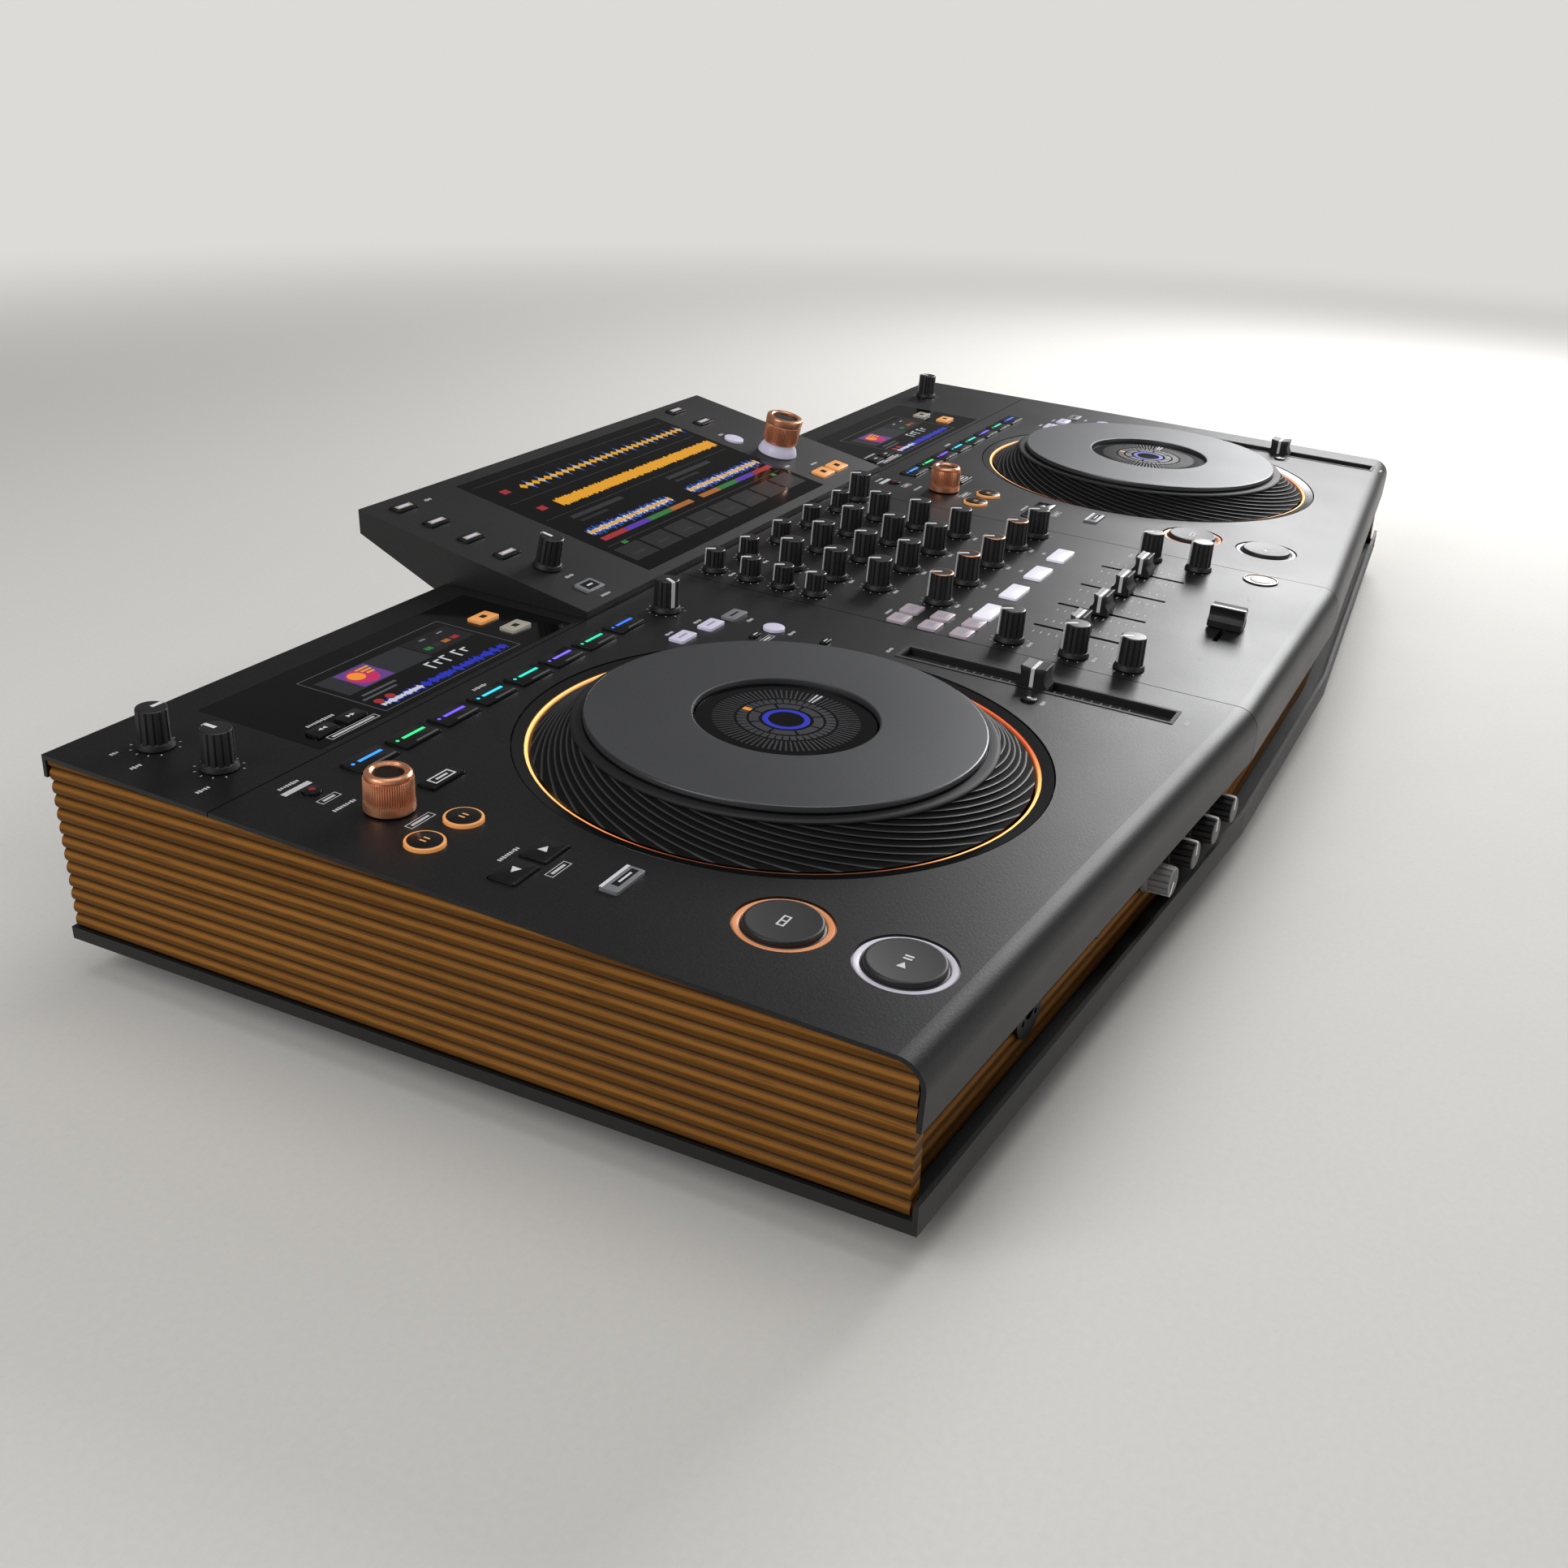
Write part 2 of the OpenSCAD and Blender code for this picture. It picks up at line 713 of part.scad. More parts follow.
module rear_panel() {
  half = body_w / 2 - trim_inset - trim_t - fit_gap;
  high = z_rear_top - 2 * sheet;
  color(black) difference() {
    translate([-half, y_rear - 2 * sheet, foot_h + sheet]) cube([2 * half, sheet, high - foot_h - sheet]);
    translate([pod_left - seam, y_rear - 3 * sheet, z_rear_low]) cube([pod_w + 2 * seam, 3 * sheet, strip_lip]);
    for (x = xlr_x) rear_face(x) rear_cut(xlr_r + xlr_wall + hole_gap);
    for (x = jack_x) rear_face(x) rear_cut(jack_r + 2 + hole_gap);
    for (x = phono_x) for (up = phono_rows) rear_face(x, rear_axis + up) rear_cut(phono_r + hole_gap);
    rear_face(network_x) rear_box(network, 1 + hole_gap);
    rear_face(usb_x) rear_box(usb, 1 + hole_gap);
    rear_face(inlet_x) rear_box(inlet, 2 + hole_gap);
    rear_face(rocker_x) rear_box(rocker, hole_gap);
  }
}

module rear_cut(r) {
  translate([0, 0, -3 * sheet]) cylinder(r = r, h = 4 * sheet);
}

module rear_box(size, grow) {
  w = size[0] + 2 * grow;
  h = size[1] + 2 * grow;
  translate([-w / 2, -h / 2, -3 * sheet]) cube([w, h, 4 * sheet]);
}

// Screen housing: a hollow wedge, open underneath between the mixer and the rear wall
module pod_section(inset) {
  front_y = y_pod + seam + inset;
  rear_y = total_d / 2 - inset;
  low = z_rear_low + fit_gap;
  open_low = inset > 0 ? low - pod_wall : low;
  function face_z(y) = z_pod + (y - y_pod) * tan(pod_tilt) - inset / cos(pod_tilt);
  polygon([
    [front_y, open_low],
    [front_y, face_z(front_y)],
    [rear_y, face_z(rear_y)],
    [rear_y, face_z(total_d / 2) - pod_edge + 2 * inset],
    [y_rear + inset * 0.4 - sheet, low + inset],
    [y_rear + inset * 0.4 - 3 * sheet, open_low]]);
}

module screen_housing() {
  keys = concat(left_pod_keys, right_pod_keys, [framed_key], orange_keys);
  color(black) difference() {
    translate([pod_left, 0, 0]) run_along(pod_w) pod_section(0);
    translate([pod_left + pod_wall, 0, 0]) run_along(pod_w - 2 * pod_wall) pod_section(pod_wall);
    pod_frame() {
      translate([(pod_w - screen_w) / 2 - fit_gap, screen_v - fit_gap, -screen_t])
        cube([screen_w + 2 * fit_gap, screen_d + 2 * fit_gap, 2 * screen_t]);
      for (k = keys) translate([k[0], k[1], 0]) key_hole(k[2], k[3]);
      translate([round_pod_key[0], round_pod_key[1], 0]) round_hole(round_pod_key[2] + key_gap);
      translate(pod_knob_at) pot_hole();
      translate(selector_at) pot_hole();
    }
  }
}

module deck_glass() {
  difference() {
    union() {
      translate([glass_u, strip_s + glass_back, -sheet]) cube([glass_w, glass_d, sheet]);
      translate([glass_u + glass_w * 0.25, strip_s + glass_back + 4, -lcd_t])
        cube([glass_w * 0.54, glass_d - 18, lcd_t - sheet]);
    }
    for (k = glass_keys) translate([k[0], k[1], 0]) key_hole(k[2], k[3]);
  }
}

module display_screens() {
  lens_edge = 0.6;
  color("#0b0d12") {
    pod_frame() translate([(pod_w - screen_w) / 2, screen_v, -screen_t]) cube([screen_w, screen_d, screen_t]);
    for (side = [LEFT, RIGHT]) {
      deck(side) deck_glass();
      jog_frame(side) rotate_extrude() polygon([
        [0, lens_low], [lens_r, lens_low], [lens_r, lens_high - lens_edge],
        [lens_r - lens_edge, lens_high], [0, lens_high]]);
    }
  }
}

// Jog wheel's fixed parts: rim in the panel's opening, and the dish with its post under it
module jog_rim() {
  rotate_extrude() polygon([
    [rim_in_r, -rim_t - sheet], [dish_out_r, -rim_t - sheet], [dish_out_r, -sheet],
    [jog_open_r - rim_gap, -sheet], [jog_open_r - rim_gap, -0.9], [jog_open_r - rim_gap - 0.5, -0.4],
    [rim_in_r, -1.4]]);
}

module jog_dish() {
  floor_t = 2;
  wall = dish_out_r - dish_in_r - 2;
  ledge = 2;
  ledge_low = -rim_t - sheet - 8;
  boss_r = post_r + sleeve_wall + 2;
  flange_low = -rim_t - sheet - 2.5;
  seat = -rim_t - sheet - fit_gap / 2;
  rotate_extrude() polygon([
    [0, -dish_d], [dish_in_r + wall, -dish_d], [dish_in_r + wall, flange_low], [dish_out_r, flange_low],
    [dish_out_r, seat], [dish_in_r, seat], [dish_in_r, ledge_low + 4],
    [dish_in_r - ledge, ledge_low + 4], [dish_in_r - ledge, ledge_low + 2], [dish_in_r, ledge_low],
    [dish_in_r, -dish_d + floor_t], [boss_r, -dish_d + floor_t], [boss_r, sleeve_low - joint_gap],
    [post_r, sleeve_low - joint_gap], [post_r, lens_low], [0, lens_low]]);
}

module jog_housings() {
  color(black) for (side = [LEFT, RIGHT]) jog_frame(side) {
    jog_rim();
    jog_dish();
  }
}

module light_rings() {
  low = -rim_t - sheet - 4;
  under_rim = -rim_t - sheet - fit_gap;
  color("#ffb070") for (side = [LEFT, RIGHT]) {
    jog_frame(side) rotate_extrude() polygon([
      [light_in_r, low], [dish_in_r - fit_gap, low], [dish_in_r - fit_gap, under_rim],
      [light_in_r + light_w, under_rim], [light_in_r + light_w, -1.6], [light_in_r, -1.8]]);
    deck(side) for (at = [cue_at, play_at]) translate(at) rotate_extrude() polygon([
      [cue_r + hole_gap, -sheet - 1.5], [cue_r + ring_w + 2, -sheet - 1.5], [cue_r + ring_w + 2, -sheet],
      [cue_r + ring_w + hole_gap, -sheet], [cue_r + ring_w + hole_gap, 0.1],
      [cue_r + ring_w - 0.4, 0.5], [cue_r + hole_gap, -0.2]]);
  }
}

// Inside: boards, potentiometers, fader units and switches
module deck_board() {
  start_s = 22;
  start_u = trim_inset + trim_t + 7;
  difference() {
    translate([start_u, start_s, -board_h - board_t])
      cube([deck_w - 2 * start_u, strip_s - start_s - 6, board_t]);
    translate([jog_u, jog_s, 0]) translate([0, 0, -board_h - 2 * board_t])
      cylinder(r = dish_out_r + 1, h = 4 * board_t);
  }
}

module circuit_boards() {
  margin = 6;
  left_board = [48, 80, board_t];
  right_board = [80, 80, board_t];
  supply = [150, 110, board_t];
  supply_x = inlet_x - supply[0] + 30;
  supply_y = y_rear - supply[1] - 60;
  post_h = 10;
  post_in = 8;
  color(board_green) {
    deck(LEFT) deck_board();
    deck(RIGHT) deck_board();
    deck_frame() translate([margin - mixer_w / 2, -2, -board_h - board_t])
      cube([mixer_w - 2 * margin, strip_s - margin, board_t]);
    deck(LEFT) translate([14, strip_s + margin, -board_h - board_t]) cube(left_board);
    deck(RIGHT) translate([deck_w - right_board[0] - 20, strip_s + margin, -board_h - board_t]) cube(right_board);
    translate([supply_x, supply_y, foot_h + sheet]) {
      translate([0, 0, post_h]) cube(supply);
      for (x = [post_in, supply[0] - post_in]) for (y = [post_in, supply[1] - post_in])
        translate([x, y, 0]) cylinder(r = 3, h = post_h);
    }
  }
}

module button_switch() {
  translate([0, 0, -board_h]) cylinder(r = 6, h = board_h - button_low - cue_travel - fit_gap);
}

module control_units() {
  color(steel) {
    deck_frame() {
      mixer_pots() pot();
      for (x = channel_xs) translate([x, fader_s, 0]) fader_unit();
      translate([0, cross_s, 0]) rotate([0, 0, 90]) fader_unit();
    }
    for (side = [LEFT, RIGHT]) deck(side) {
      translate(loop_at) pot();
      translate([tempo_u, tempo_s, 0]) tempo_unit();
      for (at = [cue_at, play_at]) translate(at) button_switch();
    }
    deck(LEFT) {
      for (at = strip_knobs) translate(at) pot();
      translate(corner_knob_at) pot();
    }
    deck(RIGHT) translate(right_strip_knob) pot();
    pod_frame() for (at = [pod_knob_at, selector_at]) translate(at) pot(pod_wall);
    front_left() for (x = front_knobs) front_face(x) pot(trim_t);
  }
}

// Sockets in the front trim and the rear panel
module jack_body(r, deep, wall, nut) {
  difference() {
    union() {
      translate([0, 0, -deep - socket_floor]) cylinder(r = r + wall, h = deep + socket_floor);
      cylinder(r = r + wall + nut, h = flange_t);
    }
    translate([0, 0, -deep]) cylinder(r = r, h = deep + 2 * flange_t);
  }
}

module blade_places() {
  for (x = [-7, 0, 7]) translate([x, x == 0 ? -3 : 2, 0]) children();
}

module blade(grow, low, high) {
  translate([-blade_w / 2 - grow, -blade_h / 2 - grow, low])
    cube([blade_w + 2 * grow, blade_h + 2 * grow, high - low]);
}

module box_socket(size, wall, flange) {
  w = size[0];
  h = size[1];
  deep = size[2];
  difference() {
    union() {
      translate([-w / 2 - wall, -h / 2 - wall, -deep - socket_floor])
        cube([w + 2 * wall, h + 2 * wall, deep + socket_floor]);
      translate([-w / 2 - flange, -h / 2 - flange, -sheet])
        cube([w + 2 * flange, h + 2 * flange, flange_t]);
    }
    translate([-w / 2, -h / 2, -deep]) cube([w, h, deep + 2 * flange_t]);
  }
}

module combo_socket() {
  deep = 22;
  contact_r = 1.4;
  contact_at = 7.2;
  contact_deep = 16;
  difference() {
    union() {
      translate([0, 0, -deep - socket_floor]) cylinder(r = combo_r, h = deep + socket_floor);
      cylinder(r = combo_r + 2, h = flange_t);
    }
    translate([0, 0, -deep]) cylinder(r = combo_bore_r, h = deep + 2 * flange_t);
    for (turn = [90, 210, 330]) rotate([0, 0, turn]) translate([contact_at, 0, -contact_deep])
      cylinder(r = contact_r, h = contact_deep + 2 * flange_t);
  }
}

module xlr_socket() {
  plate = [26, 31];
  plate_r = 3;
  pin_r = 1.2;
  pin_at = 4;
  pin_l = 11;
  difference() {
    union() {
      translate([0, 0, -xlr_d - socket_floor]) cylinder(r = xlr_r + xlr_wall, h = xlr_d + socket_floor);
      translate([0, 0, -sheet]) linear_extrude(flange_t) soft_square(plate[0], plate[1], plate_r);
    }
    translate([0, 0, -xlr_mouth]) cylinder(r = xlr_r, h = xlr_mouth + 2 * flange_t);
    translate([0, 0, -xlr_d]) cylinder(r = xlr_r - xlr_step, h = xlr_d);
  }
  for (turn = [30, 150, 270]) rotate([0, 0, turn]) translate([pin_at, 0, -xlr_d - 1])
    cylinder(r = pin_r, h = pin_l + 1);
}

module phono_socket() {
  behind = 14;
  bore_r = 1.7;
  bore_deep = 8;
  collar = 2.5;
  difference() {
    union() {
      translate([0, 0, -behind]) cylinder(r = phono_r, h = behind + phono_l);
      translate([0, 0, -sheet]) cylinder(r = phono_r + collar, h = flange_t);
    }
    translate([0, 0, phono_l - bore_deep]) cylinder(r = bore_r, h = bore_deep + 1);
  }
}

module sockets() {
  color(black) {
    front_left() front_face(combo_along) combo_socket();
    front_left() front_face(switch_along) translate([0, 0, -trim_t - 4])
      cylinder(r = switch_r, h = trim_t + 6);
    for (i = [0, 1]) front_right() front_face(phones_along[i]) jack_body(phones_bores[i], jack_d, 2, 2);
    for (x = xlr_x) rear_face(x) xlr_socket();
    for (x = jack_x) rear_face(x) translate([0, 0, -sheet]) jack_body(jack_r, jack_d, 2, 2.5);
    for (x = phono_x) for (up = phono_rows) rear_face(x, rear_axis + up) phono_socket();
    rear_face(network_x) box_socket(network, 1, 2.5);
    rear_face(usb_x) box_socket(usb, 1, 2.5);
    rear_face(inlet_x) {
      difference() {
        box_socket(inlet, 2, 5);
        blade_places() blade(fit_gap / 2, -inlet[2] - 2 * socket_floor, 1 - inlet[2]);
      }
      blade_places() blade(0, -inlet[2] - 2 * socket_floor, blade_l - inlet[2]);
    }
    rear_face(rocker_x) translate([-rocker[0] / 2, -rocker[1] / 2, -rocker[2]])
      cube([rocker[0], rocker[1], rocker[2]]);
  }
}

module feet() {
  foot_x = [for (side = [-1, 0, 1]) side * (body_w / 2 - 80)];
  foot_y = [y_front + 40, y_rear - 40];
  edge = 3;
  color(black) for (x = foot_x) for (y = foot_y) translate([x, y, 0]) rotate_extrude() polygon([
    [0, 0], [foot_r - 2 * edge, 0], [foot_r - edge, edge], [foot_r, foot_h], [0, foot_h]]);
}

// Knobs that share one node
module small_knobs() {
  color(black) {
    deck_frame() {
      for (x = channel_xs) translate([x, trim_s, 0]) knob(small_knob_r, small_knob_h);
      for (at = column_small) translate(at) knob(small_knob_r, small_knob_h);
      for (at = right_column) translate(at) knob(knob_r, knob_h);
    }
    deck(LEFT) translate(corner_knob_at) knob(knob_r, knob_h);
    deck(RIGHT) translate(right_strip_knob) knob(knob_r, knob_h);
    pod_frame() translate(pod_knob_at) knob(knob_r, knob_h, pod_wall);
    front_left() for (x = front_knobs) front_face(x) knob(knob_r, front_knob_h, trim_t);
  }
}

// Jog wheel: plate, web and sleeve in one turned piece
module jog_wheel() {
  edge = 0.8;
  web_high = plate_top - plate_t;
  sleeve_top = lens_low - 1;
  rotate_extrude() polygon([
    [post_r + run_gap, sleeve_low], [post_r + sleeve_wall, sleeve_low],
    [post_r + sleeve_wall, web_high - web_t], [web_r, web_high - web_t], [web_r, web_high],
    [plate_r - 0.6, web_high], [plate_r, web_high + edge], [plate_r, plate_top - edge],
    [plate_r - edge, plate_top], [hole_r + edge, plate_top], [hole_r, plate_top - edge],
    [hole_r, sleeve_top], [post_r + run_gap, sleeve_top]]);
}

module left_jog_wheel() {
  color("#4c4d50") jog_frame(LEFT) jog_wheel();
}

module right_jog_wheel() {
  color("#4c4d50") jog_frame(RIGHT) jog_wheel();
}

// Conical skirt: swirled ribs outside, a plain wall inside, closed at both rims
module jog_skirt() {
  rings = 8;
  rib_points = 4;
  around = rib_points * swirl_count;
  step = 360 / around;
  turn_points = round(swirl_turn / step);
  function wave(i) = swirl_rise * (1 - pow(abs(2 * (i % rib_points) / rib_points - 1), 2));
  function ring_point(r, angle, h) = [r * cos(angle), r * sin(angle), h];
  function outside_r(t) = skirt_r + (skirt_top_r - skirt_r) * pow(t, 0.9) - swirl_rise;
  function level(t) = skirt_low + (skirt_high - skirt_low) * t;
  outer = [for (k = [0:rings]) for (i = [0:around - 1]) let (t = k / rings)
    ring_point(outside_r(t) + wave(i), (i - turn_points * t) * step, level(t))];
  inner = [for (k = [0, 1]) for (i = [0:around - 1])
    ring_point(outside_r(k) - skirt_wall, i * step, level(k))];
  base = (rings + 1) * around;
  outside = [for (k = [0:rings - 1]) for (i = [0:around - 1])
    let (j = (i + 1) % around, a = k * around, b = a + around)
    each [[a + i, b + i, b + j], [a + i, b + j, a + j]]];
  inside = [for (i = [0:around - 1]) let (j = (i + 1) % around, b = base + around)
    each [[base + i, b + j, b + i], [base + i, base + j, b + j]]];
  low_rim = [for (i = [0:around - 1]) let (j = (i + 1) % around)
    each [[i, j, base + j], [i, base + j, base + i]]];
  function top_point(i) = rings * around + (i + turn_points) % around;
  high_rim = [for (i = [0:around - 1]) let (j = (i + 1) % around, b = base + around)
    each [[top_point(i), b + j, top_point(j)], [top_point(i), b + i, b + j]]];
  polyhedron(points = concat(outer, inner), faces = concat(outside, inside, low_rim, high_rim));
}

module left_jog_skirt() {
  color(black) jog_frame(LEFT) jog_skirt();
}

module right_jog_skirt() {
  color(black) jog_frame(RIGHT) jog_skirt();
}

// Faders
module tempo_fader(side) {
  color(black) deck(side) translate([tempo_u, tempo_s, 0])
    fader_cap(1 - trough_d, trough_w - 5, cap_l + 6, cap_h + 3);
}

module left_tempo_fader() {
  tempo_fader(LEFT);
}

module right_tempo_fader() {
  tempo_fader(RIGHT);
}

module channel_fader(i) {
  color(black) deck_frame() translate([channel_xs[i - 1], fader_s, 0]) fader_cap(1);
}

module channel_fader_1() {
  channel_fader(1);
}

module channel_fader_2() {
  channel_fader(2);
}

module channel_fader_3() {
  channel_fader(3);
}

module channel_fader_4() {
  channel_fader(4);
}

module crossfader() {
  color(black) deck_frame() translate([0, cross_s, 0]) rotate([0, 0, 90])
    fader_cap(1, cap_w + 4, cap_l + 1, cap_h);
}

// Cue and play buttons: dished round caps with a flange under the panel
module big_button(side, at) {
  rise = cue_travel + 1.4;
  edge = 1;
  flange = 1.6;
  flange_t = 1.4;
  dish = 0.5;
  color(black) deck(side) translate(at) rotate_extrude() polygon([
    [0, -button_low], [cue_r + flange, -button_low], [cue_r + flange, flange_t - button_low],
    [cue_r, flange_t - button_low], [cue_r, rise - edge], [cue_r - edge, rise],
    [cue_r / 2, rise - 0.8 * dish], [0, rise - dish]]);
}

module left_cue_button() {
  big_button(LEFT, cue_at);
}

module left_play_button() {
  big_button(LEFT, play_at);
}

module right_cue_button() {
  big_button(RIGHT, cue_at);
}

module right_play_button() {
  big_button(RIGHT, play_at);
}

// Encoders
module left_loop_knob() {
  color(copper) deck(LEFT) translate(loop_at) knurled_knob(loop_r, loop_h, loop_r - 3, 2.5);
}

module right_loop_knob() {
  color(copper) deck(RIGHT) translate(loop_at) knurled_knob(loop_r, loop_h, loop_r - 3, 2.5);
}

module selector_knob() {
  base_h = 8;
  color(copper) pod_frame() translate(selector_at) {
    knurled_knob(selector_r, selector_h, selector_r - 4, 1.5, base_h, pod_wall);
    translate([0, 0, knob_lift]) cylinder(r1 = selector_r + 1, r2 = selector_r - 3, h = base_h);
  }
}

// Mixer knobs
module mixer_knob(i, s, tone = black) {
  color(tone) deck_frame() translate([channel_xs[i - 1], s, 0]) knob(knob_r, knob_h);
}

module high_knob_1() {
  mixer_knob(1, high_s);
}

module high_knob_2() {
  mixer_knob(2, high_s);
}

module high_knob_3() {
  mixer_knob(3, high_s);
}

module high_knob_4() {
  mixer_knob(4, high_s);
}

module mid_knob_1() {
  mixer_knob(1, mid_s);
}

module mid_knob_2() {
  mixer_knob(2, mid_s);
}

module mid_knob_3() {
  mixer_knob(3, mid_s);
}

module mid_knob_4() {
  mixer_knob(4, mid_s);
}

module low_knob_1() {
  mixer_knob(1, low_s);
}

module low_knob_2() {
  mixer_knob(2, low_s);
}

module low_knob_3() {
  mixer_knob(3, low_s);
}

module low_knob_4() {
  mixer_knob(4, low_s);
}

module filter_knob_1() {
  mixer_knob(1, filter_s, copper);
}

module filter_knob_2() {
  mixer_knob(2, filter_s, copper);
}

module filter_knob_3() {
  mixer_knob(3, filter_s, copper);
}

module filter_knob_4() {
  mixer_knob(4, filter_s, copper);
}

module rear_knob(i) {
  color(black) deck(LEFT) translate(strip_knobs[i - 1]) knob(knob_r, knob_h);
}

module rear_knob_1() {
  rear_knob(1);
}

module rear_knob_2() {
  rear_knob(2);
}

module column_knob(i) {
  color(black) deck_frame() translate(column_tall[i - 1]) knob(knob_r, knob_h);
}

module column_knob_1() {
  column_knob(1);
}

module column_knob_2() {
  column_knob(2);
}

module column_knob_3() {
  column_knob(3);
}

// Keys, each group in one node
module deck_key_set(side) {
  color(key_white) deck(side) {
    for (i = [0:7]) translate([pad_first[0] + i * pad_pitch, pad_first[1], 0]) key(pad_w, pad_d);
    for (k = deck_keys) translate([k[0], k[1], 0]) key(k[2], k[3]);
    for (k = glass_keys) translate([k[0], k[1], 0]) key(k[2], k[3]);
    for (k = deck_round_keys) translate([k[0], k[1], 0]) round_key(k[2]);
  }
}

module left_keys() {
  deck_key_set(LEFT);
}

module right_keys() {
  deck_key_set(RIGHT);
}

module mixer_keys() {
  color(key_white) deck_frame() {
    for (at = effect_keys) translate(at) key(effect_key_w, column_key_d);
    for (x = channel_xs) translate([x, cue_row_s, 0]) key(cue_key_w, column_key_d);
  }
}

module screen_keys() {
  color(key_white) pod_frame() {
    for (k = concat(left_pod_keys, right_pod_keys, [framed_key], orange_keys))
      translate([k[0], k[1], 0]) key(k[2], k[3], pod_wall);
    translate([round_pod_key[0], round_pod_key[1], 0]) round_key(round_pod_key[2], pod_wall);
  }
}

bottom_tray();
left_deck_panel();
mixer_panel();
right_deck_panel();
rear_strips();
side_trims();
front_trim();
rear_panel();
screen_housing();
display_screens();
jog_housings();
light_rings();
circuit_boards();
control_units();
sockets();
feet();
small_knobs();
left_jog_wheel();
right_jog_wheel();
left_jog_skirt();
right_jog_skirt();
left_tempo_fader();
right_tempo_fader();
channel_fader_1();
channel_fader_2();
channel_fader_3();
channel_fader_4();
crossfader();
left_cue_button();
left_play_button();
right_cue_button();
right_play_button();
left_loop_knob();
right_loop_knob();
selector_knob();
high_knob_1();
high_knob_2();
high_knob_3();
high_knob_4();
mid_knob_1();
mid_knob_2();
mid_knob_3();
mid_knob_4();
low_knob_1();
low_knob_2();
low_knob_3();
low_knob_4();
filter_knob_1();
filter_knob_2();
filter_knob_3();
filter_knob_4();
rear_knob_1();
rear_knob_2();
column_knob_1();
column_knob_2();
column_knob_3();
left_keys();
right_keys();
mixer_keys();
screen_keys();
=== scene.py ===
import json
import math

import bmesh
import bpy
from mathutils import Matrix, Vector


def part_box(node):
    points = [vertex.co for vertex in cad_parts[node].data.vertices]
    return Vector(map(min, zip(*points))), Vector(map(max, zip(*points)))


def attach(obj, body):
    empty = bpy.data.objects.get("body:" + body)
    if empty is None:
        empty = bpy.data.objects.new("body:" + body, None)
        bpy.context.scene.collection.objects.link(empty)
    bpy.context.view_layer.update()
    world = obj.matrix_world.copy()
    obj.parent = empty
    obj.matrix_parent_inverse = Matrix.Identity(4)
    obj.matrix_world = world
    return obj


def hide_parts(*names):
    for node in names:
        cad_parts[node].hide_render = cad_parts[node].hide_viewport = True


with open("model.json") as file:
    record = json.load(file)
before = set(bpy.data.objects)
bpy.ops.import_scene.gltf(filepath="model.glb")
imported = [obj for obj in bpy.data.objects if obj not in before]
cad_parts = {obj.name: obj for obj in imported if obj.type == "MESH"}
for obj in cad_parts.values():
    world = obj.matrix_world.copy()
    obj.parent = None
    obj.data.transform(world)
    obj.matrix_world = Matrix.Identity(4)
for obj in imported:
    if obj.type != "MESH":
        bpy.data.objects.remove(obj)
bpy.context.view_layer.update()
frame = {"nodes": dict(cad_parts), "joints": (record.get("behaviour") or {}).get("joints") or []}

# Studio: the console stands on a pale paper sweep, lit by a broad softbox beyond its right end, by
# weaker ones on the left and in front, and from above. The camera is by the left front corner.
MM = 0.001
PHOTO_PX = 1932
FOCAL_PX = 1995.7
SENSOR_MM = 36
CAMERA_AT = Vector((-909.8, -375.4, 397.0)) * MM
CAMERA_AZIMUTH = math.radians(-63.47)
CAMERA_ELEVATION = math.radians(24.95)
CAMERA_ROLL = math.radians(1.68)
NEAREST = 0.01
UP = Vector((0, 0, 1))


def colour(code):
    """Turns an sRGB hex value into the linear colour that a shader takes."""
    parts = [int(code[i:i + 2], 16) / 255 for i in (1, 3, 5)]
    return [p / 12.92 if p <= 0.04045 else ((p + 0.055) / 1.055) ** 2.4 for p in parts] + [1.0]


def wire(tree, item, sockets):
    """Sets or links the named input sockets of a node. A node given there stands for its first output."""
    for name, value in sockets.items():
        if isinstance(value, bpy.types.Node):
            value = value.outputs[0]
        if isinstance(value, bpy.types.NodeSocket):
            tree.links.new(value, item.inputs[name])
        else:
            item.inputs[name].default_value = value


def add(tree, kind, sockets=None, **settings):
    """Adds a node with its settings, and sets or links its input sockets."""
    item = tree.nodes.new(kind)
    for name, value in settings.items():
        setattr(item, name, value)
    wire(tree, item, sockets or {})
    return item


def surface(name):
    """Starts a material, and returns it with its tree and its shader."""
    made = bpy.data.materials.new(name)
    made.use_nodes = True
    return made, made.node_tree, made.node_tree.nodes["Principled BSDF"]


def grained(name, dark, light, grain_mm, rough, bump=0.15, metallic=0.0):
    """A painted, moulded or cast skin: two tones mixed by a fine grain that also lifts it."""
    made, tree, shader = surface(name)
    place = add(tree, "ShaderNodeTexCoord").outputs["Object"]
    grain = add(tree, "ShaderNodeTexNoise", {
        "Vector": place, "Scale": 1 / (grain_mm * MM), "Detail": 3.0, "Roughness": 0.6})
    wide = add(tree, "ShaderNodeTexNoise", {"Vector": place, "Scale": 1 / (70 * MM), "Detail": 2.0})
    tone = add(tree, "ShaderNodeMix", {0: grain, 6: colour(dark), 7: colour(light)}, data_type="RGBA")
    sheen = add(tree, "ShaderNodeMapRange", {
        "Value": wide, "To Min": rough - 0.06, "To Max": rough + 0.06})
    lift = add(tree, "ShaderNodeBump", {
        "Height": grain, "Strength": bump, "Distance": grain_mm * MM * 0.3})
    wire(tree, shader, {
        "Base Color": tone.outputs[2], "Roughness": sheen, "Normal": lift, "Metallic": metallic})
    return made


